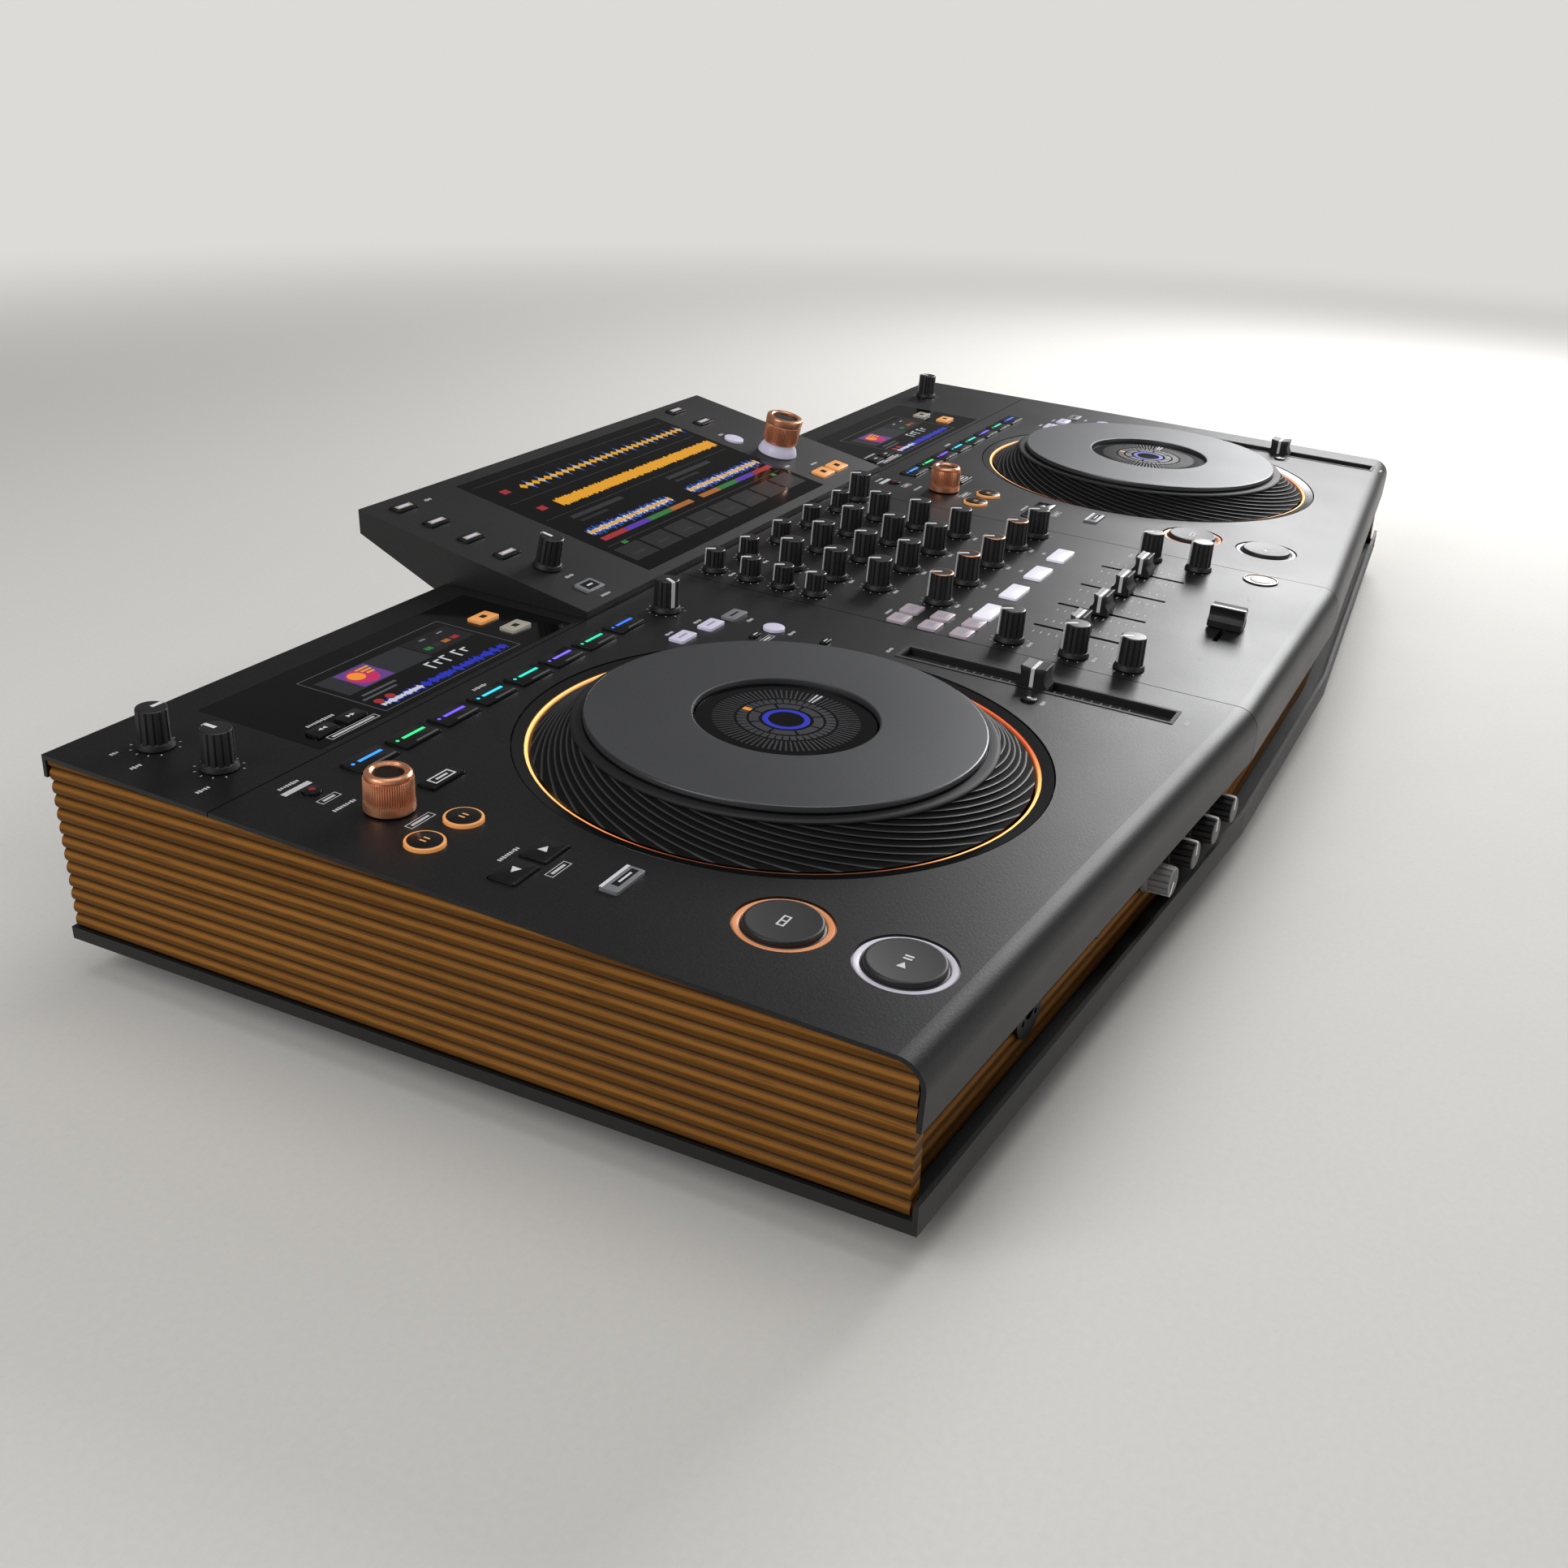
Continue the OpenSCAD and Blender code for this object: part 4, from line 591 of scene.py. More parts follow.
def ring_glow(name, centre):
    """Frosted acrylic lit amber: hot at its lamps; painted shade makes it a dim red between them, on the side
    towards the camera, and down its inner wall.
    """
    made, tree, shader = surface(name)
    place = add(tree, "ShaderNodeTexCoord").outputs["Object"]
    reach = add(tree, "ShaderNodeVectorMath", {0: place, 1: centre}, operation="SUBTRACT")
    ways = []
    for way, least, most in LAMP_REACH:
        along = add(tree, "ShaderNodeVectorMath", {
            0: reach, 1: way / (RING_R * MM)}, operation="DOT_PRODUCT").outputs["Value"]
        ways.append(add(tree, "ShaderNodeMapRange", {
            "Value": along, "From Min": least, "From Max": most}, interpolation_type="SMOOTHSTEP"))
    hot = add(tree, "ShaderNodeMath", {0: ways[1], 1: ways[2]}, operation="MAXIMUM")
    warm = add(tree, "ShaderNodeMix", {
        0: hot, 6: colour("#ff6a34"), 7: colour("#ffbe70")}, data_type="RGBA").outputs[2]
    # Painted shade: towards the camera's side the glow is mixed to a dim red and turned down.
    tone = add(tree, "ShaderNodeMix", {
        0: ways[0], 6: warm, 7: colour("#8a2a10")}, data_type="RGBA").outputs[2]
    bright = add(tree, "ShaderNodeMapRange", {"Value": hot, "To Min": 0.75, "To Max": 1.7})
    full = add(tree, "ShaderNodeMapRange", {"Value": ways[0], "To Min": bright, "To Max": 0.15})
    # Painted shade: the glow falls off down the inner wall of the ring.
    far = add(tree, "ShaderNodeVectorMath", {0: reach}, operation="LENGTH").outputs["Value"]
    level = add(tree, "ShaderNodeMapRange", {
        "Value": far, "From Min": (RING_R - 1.75) * MM, "From Max": (RING_R - 1.1) * MM,
        "To Min": 0.1, "To Max": full})
    wire(tree, shader, {
        "Base Color": colour("#7a4a30"), "Emission Color": tone, "Emission Strength": level,
        "Roughness": 0.4})
    return made


# Lit acrylic: warm copper round the cue button, cool white round the play button.
cue_glow = lit("lit_copper_acrylic", "#cf8a5c", 0.35)
white_glow = lit("lit_white_acrylic", "#c6c2ce", 0.22)
JOG_RING = about(RING_R, 0, [
    (-2, -8), (5.2, -8), (5.2, -4.3), (0, -4.3), (0, -1.75), (-0.2, -1.6), (-1.2, -1.8), (-1.8, -3.0)])
BUTTON_RING = about(CUE_R, 0, [
    (0.4, -3.5), (CUE_RING + 2, -3.5), (CUE_RING + 2, -2), (CUE_RING, -2), (CUE_RING, -0.7),
    (CUE_RING - 0.3, -0.5), (0.8, -0.6), (0.4, -0.8)])
chunks = []
for side, base in DECKS.items():
    amber = ring_glow(side + "_lit_amber_acrylic", base @ Vector((JOG_U, JOG_S, 0)))
    chunks.append((turned(JOG_RING, 192, True), spot(base, JOG_U, JOG_S), amber))
    for at, glow in ((CUE_AT, cue_glow), (PLAY_AT, white_glow)):
        chunks.append((turned(BUTTON_RING, 96, True), spot(base, *at), glow))
assemble("lit_rings", "console", chunks, ["light_rings"])


# Jog wheels: a turned aluminium plate on a moulded carrier, over a conical skirt whose blades
# swirl from the rim down to the light ring. The wheel turns on the housing's post.
PLATE_R, PLATE_TOP, PLATE_T = 93, 15.4, 3
HOLE_R, POST_R, SLEEVE_WALL = 43.2, 40.05, 6
SLEEVE_LOW, SLEEVE_TOP, WEB_R, WEB_T = -24, 7, 93.3, 3.5
SKIRT_R, SKIRT_TOP_R, SKIRT_LOW, SKIRT_HIGH, SKIRT_WALL = 116, 97.5, -2, 11.8, 2.4
SWIRLS, SWIRL_RISE, SWIRL_TURN = 42, 1.5, 57
AROUND, UPWARD = 12, 27

# A cone of swirled blades: a grid rolled up, whose rows run up the outer face, over the rim and
# down the plain inner face. The radius falls to the top and is waved round.
skirt_tree, given = size_tree("swirl_skirt", [
    "Base Radius", "Top Radius", "Low", "High", "Blades", "Rise", "Turn", "Wall", "Around", "Steps"])
last = add(skirt_tree, "ShaderNodeMath", {0: given["Steps"], 1: 2.0, 2: 2.0}, operation="MULTIPLY_ADD")
rows = add(skirt_tree, "ShaderNodeMath", {0: last, 1: 1.0}, operation="ADD")
grid = add(skirt_tree, "GeometryNodeMeshGrid", {
    "Size X": 1.0, "Size Y": 1.0, "Vertices X": given["Around"], "Vertices Y": rows})
place = add(skirt_tree, "GeometryNodeInputPosition")
parts = add(skirt_tree, "ShaderNodeSeparateXYZ", {"Vector": place}).outputs
round_share = add(skirt_tree, "ShaderNodeMath", {0: parts["X"], 1: 0.5}, operation="ADD")
row_share = add(skirt_tree, "ShaderNodeMath", {0: parts["Y"], 1: 0.5}, operation="ADD")
row_at = add(skirt_tree, "ShaderNodeMath", {0: row_share, 1: last}, operation="MULTIPLY")
to_last = add(skirt_tree, "ShaderNodeMath", {0: last, 1: row_at}, operation="SUBTRACT")
to_foot = add(skirt_tree, "ShaderNodeMath", {0: to_last, 1: 1.0}, operation="SUBTRACT")
nearest = add(skirt_tree, "ShaderNodeMath", {0: row_at, 1: to_foot}, operation="MINIMUM")
up_share = add(skirt_tree, "ShaderNodeMath", {
    0: nearest, 1: given["Steps"]}, operation="DIVIDE", use_clamp=True)
past_rim = add(skirt_tree, "ShaderNodeMath", {0: row_at, 1: given["Steps"]}, operation="SUBTRACT")
over = add(skirt_tree, "ShaderNodeMath", {0: past_rim, 1: 0.5}, operation="GREATER_THAN")
before = add(skirt_tree, "ShaderNodeMath", {0: to_last, 1: 0.5}, operation="GREATER_THAN")
inside = add(skirt_tree, "ShaderNodeMath", {0: over, 1: before}, operation="MULTIPLY")
blade = add(skirt_tree, "ShaderNodeMath", {0: round_share, 1: given["Blades"]}, operation="MULTIPLY")
cross = add(skirt_tree, "ShaderNodeMath", {0: blade, 1: 0.5}, operation="PINGPONG")
to_crest = add(skirt_tree, "ShaderNodeMath", {0: cross, 1: 2.0}, operation="MULTIPLY")
ridge = add(skirt_tree, "ShaderNodeMath", {0: to_crest, 1: 2.0}, operation="POWER")
fall = add(skirt_tree, "ShaderNodeMath", {0: 1.0, 1: ridge}, operation="SUBTRACT")
run_out = add(skirt_tree, "ShaderNodeMapRange", {
    "Value": up_share, "From Max": 0.12, "To Max": given["Rise"]}, interpolation_type="SMOOTHSTEP")
crown = add(skirt_tree, "ShaderNodeMath", {0: fall, 1: run_out}, operation="MULTIPLY")
through = add(skirt_tree, "ShaderNodeMath", {0: given["Rise"], 1: given["Wall"]}, operation="ADD")
depth = add(skirt_tree, "ShaderNodeMapRange", {"Value": inside, "To Min": crown, "To Max": through})
taper = add(skirt_tree, "ShaderNodeMath", {0: up_share, 1: 0.9}, operation="POWER")
wide = add(skirt_tree, "ShaderNodeMapRange", {
    "Value": taper, "To Min": given["Base Radius"], "To Max": given["Top Radius"]})
radius = add(skirt_tree, "ShaderNodeMath", {0: wide, 1: depth}, operation="SUBTRACT")
lag = add(skirt_tree, "ShaderNodeMath", {0: up_share, 1: given["Turn"]}, operation="MULTIPLY")
degrees = add(skirt_tree, "ShaderNodeMath", {0: round_share, 1: 360.0}, operation="MULTIPLY")
turned_to = add(skirt_tree, "ShaderNodeMath", {0: degrees, 1: lag}, operation="SUBTRACT")
angle, out_x, out_y = polar(skirt_tree, turned_to, radius)
height = add(skirt_tree, "ShaderNodeMapRange", {
    "Value": up_share, "To Min": given["Low"], "To Max": given["High"]})
rolled = add(skirt_tree, "ShaderNodeCombineXYZ", {"X": out_x, "Y": out_y, "Z": height})
marked = add(skirt_tree, "GeometryNodeStoreNamedAttribute", {
    "Geometry": grid, "Name": "groove", "Value": fall})
cone = add(skirt_tree, "GeometryNodeSetPosition", {"Geometry": marked, "Position": rolled})
joined = add(skirt_tree, "GeometryNodeMergeByDistance", {"Geometry": cone, "Distance": 0.01})
close_tree(skirt_tree, joined, given)

# Bead-blasted anodised aluminium: an even satin grey with a very fine tooth.
plate_metal = grained("satin_anodised_aluminium", "#434446", "#555659", 0.8, 0.46, 0.06, 0.55)
# Turned and anodised edge: a thin line of darker metal that takes a soft highlight.
edge_metal = grained("turned_anodised_edge", "#4c4d50", "#626367", 0.6, 0.36, 0.03, 0.9)
# Moulded ABS with a fine spark finish: thin grey lines on the crests, and painted shade that turns the
# grooves black.
blade_abs = grained("spark_finished_abs", "#353537", "#454548", 0.6, 0.42, 0.12)
blade_nodes = blade_abs.node_tree
blade_shader = blade_nodes.nodes["Principled BSDF"]
groove = add(blade_nodes, "ShaderNodeAttribute", attribute_name="groove").outputs["Fac"]
crest_tone = blade_shader.inputs["Base Color"].links[0].from_socket
line = add(blade_nodes, "ShaderNodeMapRange", {"Value": groove, "From Min": 0.1, "From Max": 0.5})
# Painted shade: the grooves are mixed to black, the crests keep the grey.
groove_shaded_tone = add(blade_nodes, "ShaderNodeMix", {
    0: line, 6: crest_tone, 7: colour("#040405")}, data_type="RGBA").outputs[2]
matt = add(blade_nodes, "ShaderNodeMapRange", {"Value": line, "To Min": 0.42, "To Max": 0.9})
wire(blade_nodes, blade_shader, {"Base Color": groove_shaded_tone, "Roughness": matt, "Specular IOR Level": 0.25})
# The lip above the blades has the same finish all over: black, with a soft edge.
lip_abs = grained("spark_finished_lip", "#060607", "#0e0e0f", 0.6, 0.6, 0.1)
PLATE_EDGE = 0.7
web_high = PLATE_TOP - PLATE_T
CARRIER = [
    (POST_R, SLEEVE_LOW), (POST_R + SLEEVE_WALL, SLEEVE_LOW), (POST_R + SLEEVE_WALL, web_high - WEB_T),
    (WEB_R, web_high - WEB_T), (WEB_R, web_high - 0.02), (HOLE_R, web_high - 0.02), (HOLE_R, SLEEVE_TOP),
    (POST_R, SLEEVE_TOP)]
PLATE = [
    (HOLE_R, web_high), (PLATE_R - 0.4, web_high), (PLATE_R, web_high + 0.4),
    (PLATE_R, PLATE_TOP - PLATE_EDGE),
    (PLATE_R - PLATE_EDGE * 0.3, PLATE_TOP - PLATE_EDGE * 0.3), (PLATE_R - PLATE_EDGE, PLATE_TOP),
    (PLATE_R - PLATE_EDGE - 0.2, PLATE_TOP), (HOLE_R + PLATE_EDGE + 0.2, PLATE_TOP),
    (HOLE_R + PLATE_EDGE, PLATE_TOP), (HOLE_R + 0.2, PLATE_TOP - 0.2), (HOLE_R, PLATE_TOP - PLATE_EDGE)]
BRIGHT_EDGE = about(PLATE_R, PLATE_TOP, [
    (-0.72, -0.1), (-0.12, -0.7), (0.06, -0.6), (-0.15, -0.15), (-0.6, 0.04)])
SKIRT_LIP = about(SKIRT_TOP_R, SKIRT_HIGH, [
    (-4, -0.5), (-1, -1.2), (1.4, -1.3), (1.3, -0.6), (0.6, 0), (-0.4, 0.2), (-4, 0)])
for side, base in DECKS.items():
    jog = spot(base, JOG_U, JOG_S)
    assemble(side + "_jog_plate", side + "_jog", [
        (turned(CARRIER, 128, True), jog, gloss_abs),
        (turned(PLATE, 192, True), jog, plate_metal),
        (turned(BRIGHT_EDGE, 192, True), jog, edge_metal)], [side + "_jog_wheel"])
    cone = grow(side + "_jog_blades", skirt_tree, [(0, 0, 0)], {
        "Base Radius": SKIRT_R, "Top Radius": SKIRT_TOP_R, "Low": SKIRT_LOW, "High": SKIRT_HIGH - 0.5,
        "Blades": SWIRLS, "Rise": SWIRL_RISE, "Turn": SWIRL_TURN, "Wall": SKIRT_WALL,
        "Around": SWIRLS * AROUND + 1, "Steps": UPWARD}, blade_abs, jog)
    settle(cone, side + "_jog_blades", side + "_jog", [side + "_jog_skirt"])
    assemble(side + "_jog_lip", side + "_jog", [
        (turned(SKIRT_LIP, 192, True), jog, lip_abs)])


# Jog displays: round screens on the fixed posts, behind a glass that stays level in the wheel.
# They show a ring of ticks, a ring of blocks and a blue ring.
# Coated display glass: black when dark, with a weak clear reflection.
screen_glass = grained("coated_display_glass", "#020203", "#050506", 4.0, 0.12, 0.0)
screen_glass.node_tree.nodes["Principled BSDF"].inputs["Specular IOR Level"].default_value = 0.22
dress("display_screens", screen_glass)
LENS_TOP = 13.0
PIXEL_H = 0.06


def pixels(name, code, glow):
    """A lit patch of a display, which is black when it is off."""
    made = lit(name, code, glow)
    made.node_tree.nodes["Principled BSDF"].inputs["Base Color"].default_value = colour("#050506")
    return made


def arc(inner, outer, start, end, steps=10):
    """Corners of a piece of a flat ring, from one angle in degrees to another."""
    turns = [math.radians(start + (end - start) * i / steps) for i in range(steps + 1)]
    outward = [(outer * math.cos(t), outer * math.sin(t)) for t in turns]
    return outward + [(inner * math.cos(t), inner * math.sin(t)) for t in reversed(turns)]


def plate(corners, h=PIXEL_H, low=0.0):
    """A thin closed shape from its corners."""
    return skin([[(x, y, z) for x, y in corners] for z in (low, low + h)])


# Lit pixels: clear colours on black glass, each a little uneven as a display is close up.
tick_glow = pixels("grey_pixels", "#6a6c72", 0.5)
dial_glow = pixels("dim_pixels", "#46484d", 0.42)
blue_glow = pixels("blue_pixels", "#2430c8", 0.75)
orange_glow = pixels("orange_pixels", "#ff9a2e", 0.85)
pale_glow = pixels("white_pixels", "#e6e8ee", 0.7)
FULL = {"Start": 90, "Height": PIXEL_H}
DISPLAY_ROWS = [("ticks", 80, 29.3, 10, 0.8, dial_glow), ("blocks", 40, 20.7, 4.4, 2.5, dial_glow)]
SEGMENTS, SEGMENT_GAP = 8, 2.5
for side, base in DECKS.items():
    lens = spot(base, JOG_U, JOG_S, LENS_TOP)
    for name, count, reach, length, width, glow in DISPLAY_ROWS:
        sizes = dict(FULL, Count=count, Radius=reach, Sweep=360 - 360 / count, Length=length, Width=width)
        repeat(side + "_jog_" + name, dial_tree, [(0, 0, 0)], sizes, glow, lens)
    rest = []
    for i in range(SEGMENTS):
        first, after = 360 / SEGMENTS * i, 360 / SEGMENTS * (i + 1)
        rest.append((plate(arc(12.8, 17.2, first + SEGMENT_GAP, after - SEGMENT_GAP)), lens, dial_glow))
        rest.append((plate(arc(8.4, 11.1, first, after)), lens, blue_glow))
    rest += [(plate(arc(24.3, 34.3, at, at + 1.3), PIXEL_H * 2), lens, pale_glow) for at in (-3.4, 0.6)]
    rest.append((plate(arc(18.4, 22.4, 86, 94), PIXEL_H * 2), lens, orange_glow))
    assemble(side + "_jog_marks", "console", rest)


# Screen housing: a moulded wedge over the rear of the mixer that carries the touch screen, its
# keys and the selector. It is screwed down from below, behind the lip of the rear panel.
# Textured ABS: soft black with a fine leather-like tooth.
housing_abs = grained("textured_black_abs", "#101011", "#1b1b1d", 0.9, 0.5, 0.3)
dress("screen_housing", housing_abs)
POD_W, SCREEN_W, SCREEN_V = 386, 232, 9
SELECTOR_AT = (334, 60)
POD = panel_frame("selector", *SELECTOR_AT)
SCREEN = POD @ Matrix.Translation(((POD_W - SCREEN_W) / 2, SCREEN_V, 0))


def block(w, d, x=0.0, y=0.0):
    """Corners of a rectangle about a point."""
    return [(x + a * w / 2, y + b * d / 2) for a, b in ((-1, -1), (1, -1), (1, 1), (-1, 1))]


def diamond(w, d, x=0.0, y=0.0):
    """Corners of a diamond about a point."""
    return [(x - w / 2, y), (x, y - d / 2), (x + w / 2, y), (x, y + d / 2)]


def wedge(size, x=0.0, y=0.0):
    """Corners of a triangle that points along X, or against it with a negative size."""
    tall = abs(size)
    points = [(x - size / 2, y - tall / 2), (x + size / 2, y), (x - size / 2, y + tall / 2)]
    return points if size > 0 else points[::-1]


def disc(r, x=0.0, y=0.0, count=40):
    """Corners of a round patch about a point."""
    return [(x + a, y + b) for a, b, _ in ring(r, 0, count)]


# Touch screen: a liquid-crystal panel behind one sheet of glass. It shows two running waves, two
# short overviews with coloured marks under them, and a row of dim tiles.
# The screen's pixels: yellow, cream and blue waves, coloured marks, and greys that hardly glow.
yellow_glow = pixels("yellow_pixels", "#f6ab1e", 0.8)
cream_glow = pixels("cream_pixels", "#e9c98c", 0.7)
navy_glow = pixels("deep_blue_pixels", "#2450b0", 0.85)
red_glow = pixels("red_pixels", "#c02c34", 0.62)
violet_glow = pixels("violet_pixels", "#5a35b8", 0.75)
green_glow = pixels("green_pixels", "#2c8a3c", 0.65)
amber_glow = pixels("amber_pixels", "#c8762a", 0.62)
grey_glow = pixels("grey_panel_pixels", "#3c3e44", 0.36)
tile_glow = pixels("dark_tile_pixels", "#1d1e22", 0.45)
WAVE_V, BEAT = 117, 6.5
page = []
for i in range(30):
    at = 38 + i * BEAT
    page.append((plate(diamond(BEAT * 1.05, 6.6, at, WAVE_V)), SCREEN, cream_glow if i % 2 else yellow_glow))
    if i % 2 == 0:
        page.append((plate(diamond(4.6, 14, at + BEAT, WAVE_V), PIXEL_H / 2), SCREEN, navy_glow))
page += [(plate(block(7, 5, 20, v)), SCREEN, red_glow) for v in (118, 90)]
page += [(plate(block(56, 3.6, x, 71)), SCREEN, grey_glow) for x in (52, 164)]
page += [(plate(block(30, 2.4, x, 65)), SCREEN, tile_glow) for x in (40, 152)]
MARKS = [red_glow, violet_glow, green_glow, amber_glow]
for i in range(4):
    page.append((plate(block(26, 4.4, 26 + i * 26.4, 41)), SCREEN, MARKS[i]))
    page.append((plate(block(24, 4.4, 142 + i * 24.4, 41)), SCREEN, MARKS[3 - i]))
for i in range(8):
    page.append((plate(block(25, 17, 18 + i * 28, 20)), SCREEN, tile_glow))
    page.append((plate(block(12, 2, 18 + i * 28, 18), PIXEL_H * 1.5), SCREEN, grey_glow))
page += [(plate(block(5, 3, x, 31), PIXEL_H * 1.5), SCREEN, green_glow) for x in (22, 214)]
page += [(plate(block(SCREEN_W - 12, 0.5, SCREEN_W / 2, v)), SCREEN, grey_glow) for v in (132, 104, 77, 33)]
assemble("touch_page", "console", page)
WAVE = {"Spacing": 1.0, "Width": 1.02, "Swell": 0.35, "Height": PIXEL_H * 2}
OVERVIEWS = [(14, 51), (132, 51)]
for name, places, count, least, most, seed, lift, glow in (
        ("deck_wave", [(36, 89)], 192, 7.4, 11, 2, 0, yellow_glow),
        ("overview_blue", OVERVIEWS, 94, 3, 12, 5, 0, navy_glow),
        ("overview_white", OVERVIEWS, 94, 0.6, 6.5, 8, 0.08, pale_glow),
        ("overview_yellow", OVERVIEWS, 94, 0.2, 3.6, 11, 0.16, yellow_glow)):
    sizes = dict(WAVE, Count=count, Least=least, Most=most, Seed=seed)
    above = SCREEN @ Matrix.Translation((0, 0, lift))
    repeat(name, bar_tree, places, sizes, glow, above)


# Deck displays: a small colour panel and four keys behind one strip of black glass, set in the
# rear strip of each deck. The picture on it is a plain pattern of discs and stripes.
LCD_U, LCD_S, LCD_W, LCD_D = 173, 352, 106, 54
STRIP_AT, STRIP_SEED = (-48, -21.5), {"left": 3, "right": 6}
# The picture's pixels: pink and lilac, softer than the waves.
pink_glow = pixels("pink_pixels", "#d02a68", 0.8)
lilac_glow = pixels("lilac_pixels", "#7a4aa8", 0.6)
LAMPS = (green_glow, grey_glow, amber_glow, red_glow)
for side, base in DECKS.items():
    lcd = spot(base, LCD_U, LCD_S)
    edge_x, edge_y = LCD_W / 2, LCD_D / 2
    show = [(plate(block(0.5, LCD_D, x, 0)), lcd, tick_glow) for x in (-edge_x, edge_x)]
    show += [(plate(block(LCD_W, 0.5, 0, y)), lcd, tick_glow) for y in (-edge_y, edge_y)]
    show += [(plate(block(62, 22, -18, 9)), lcd, grey_glow), (plate(block(36, 20, 32, 10)), lcd, tile_glow)]
    art = lcd @ Matrix.Translation((-26, 9, PIXEL_H))
    show.append((plate(block(22, 20)), art, lilac_glow))
    show.append((plate(disc(8.4, -1.5, -0.5), PIXEL_H * 1.5), art, pink_glow))
    show.append((plate(disc(4.6, -3.6, 1.6), PIXEL_H * 2), art, orange_glow))
    for i in range(3):
        show.append((plate(block(9 - 2 * i, 1.5, 5.6, 6.4 - 2.9 * i), PIXEL_H * 2), art, yellow_glow))
    for i, x in enumerate((6, 12, 18, 27, 33)):
        tall = (8, 5.5, 8, 8, 5)[i]
        show.append((plate(block(1.3, tall, x - 4, -9)), lcd, pale_glow))
        show.append((plate(block(3.8, 1.1, x - 2.4, -9 + tall / 2 - 0.5)), lcd, pale_glow))
    for i, x in enumerate((20, 27, 34, 41)):
        show.append((plate(block(4.4, 1.4, x, 16)), lcd, pale_glow if i % 2 else grey_glow))
        show.append((plate(block(5, 3.4, x, 6), PIXEL_H * 2), lcd, LAMPS[i]))
    show += [(plate(block(24, 1.6, x, y)), lcd, tick_glow) for x, y in ((-34, -7), (-38, -11))]
    show += [(plate(disc(2.6, x, -17, 24)), lcd, red_glow) for x in (-46, -38)]
    assemble(side + "_display_page", "console", show)
    for name, count, most, lift, glow in (
            ("wave", 100, 7.5, 0.0, blue_glow), ("played", 30, 4.5, 0.1, pale_glow)):
        sizes = dict(WAVE, Count=count, Spacing=0.96, Least=1, Most=most, Seed=STRIP_SEED[side])
        above = lcd @ Matrix.Translation((0, 0, lift))
        repeat(f"{side}_display_{name}", bar_tree, [STRIP_AT], sizes, glow, above)


# Keys: moulded caps with a flange that keeps them under the panel, each on a small switch. Some
# are black with printed marks, and some are translucent and lit from below.
KEY_RISE, KEY_FLANGE, FLANGE_T, KEY_R = 1.4, 1.0, 1.4, 1.2
SHEET, POD_WALL, FLANGE_GAP = 2, 3, 0.3
MARK_H = 0.08


def outline(w, d, r, steps=4):
    """A rectangle with round corners."""
    points = []
    for k, (a, b) in enumerate(((1, 1), (-1, 1), (-1, -1), (1, -1))):
        for i in range(steps + 1):
            turn = math.pi / 2 * (k + i / steps)
            points.append((a * (w / 2 - r) + r * math.cos(turn), b * (d / 2 - r) + r * math.sin(turn)))
    return points


def slab(w, d, r, levels):
    """A block with round corners, drawn in or spread by so much at each height."""
    rings = []
    for inset, z in levels:
        corner = max(r - inset, 0.15)
        rings.append([(x, y, z) for x, y in outline(w - 2 * inset, d - 2 * inset, corner)])
    return skin(rings)


def key_cap(w, d, under, soft=0.35):
    """A square cap with its flange under a panel, and a softened edge."""
    low = -under - FLANGE_GAP - FLANGE_T
    return slab(w, d, KEY_R, [
        (-KEY_FLANGE, low), (-KEY_FLANGE, low + FLANGE_T), (0, low + FLANGE_T + 0.01),
        (0, KEY_RISE - soft), (soft * 0.3, KEY_RISE - soft * 0.3), (soft, KEY_RISE)])


def round_cap(r, under, soft=0.4):
    """A round cap with its flange under a panel, and a softened edge."""
    low = -under - FLANGE_GAP - FLANGE_T
    return turned([
        (r + KEY_FLANGE, low), (r + KEY_FLANGE, low + FLANGE_T), (r, low + FLANGE_T + 0.01),
        (r, KEY_RISE - soft), (r - soft * 0.3, KEY_RISE - soft * 0.3), (r - soft, KEY_RISE)], 48)


def frame_line(w, d, line):
    """A thin rectangle drawn with four bars."""
    sides = [block(line, d, x, 0) for x in (-w / 2, w / 2)]
    return sides + [block(w - line, line, 0, y) for y in (-d / 2 + line / 2, d / 2 - line / 2)]


def marks(place, shapes, finish, h=MARK_H):
    """Flat marks that lie on a key's face."""
    top = place @ Matrix.Translation((0, 0, KEY_RISE - 0.01))
    return [(plate(shape, h), top, finish) for shape in shapes]


def key(place, cap, finish, *faces):
    """A cap and what is printed on it: for each face its shapes, its finish and perhaps its height."""
    chunks = [(cap, place, finish)]
    for face in faces:
        chunks += marks(place, *face)
    return chunks


# Polycarbonate with a soft gloss: near black, and dark grey where it catches the light.
key_black = grained("gloss_black_polycarbonate", "#0b0b0c", "#141416", 0.8, 0.24, 0.04)
# Pigmented ABS: a cool mid grey for the keys that are not lit.
key_grey = grained("grey_key_abs", "#6d6e72", "#84858a", 0.8, 0.42, 0.08)
# Painted highlight: a thin bright silver line along the front of each pad, where its front edge catches the
# light.
pad_edge_highlight = grained("painted_silver_edge_highlight", "#8f9194", "#b8babd", 0.5, 0.3, 0.04, 0.9)
# White legend ink: clean, matt and slightly soft at its edge.
legend_ink = grained("white_legend_ink", "#c9c9cc", "#e4e4e6", 0.4, 0.55, 0.03)
# Lit translucent polycarbonate: orange, whites from bright to shaded, a dim pearl and a dull red.
orange_key = lit("lit_orange_polycarbonate", "#e09a58", 0.32)
white_key = lit("lit_lilac_polycarbonate", "#c6c1d6", 0.22)
rose_key = lit("lit_rose_polycarbonate", "#b3a5ae", 0.1)
cue_key = lit("lit_white_polycarbonate", "#dcd9e4", 0.4)
pearl_key = lit("pearl_polycarbonate", "#9a958a", 0.22)
shade_key = lit("shaded_white_polycarbonate", "#8d8a96", 0.3)
dot_red = lit("dull_red_lens", "#7a1f22", 0.25)
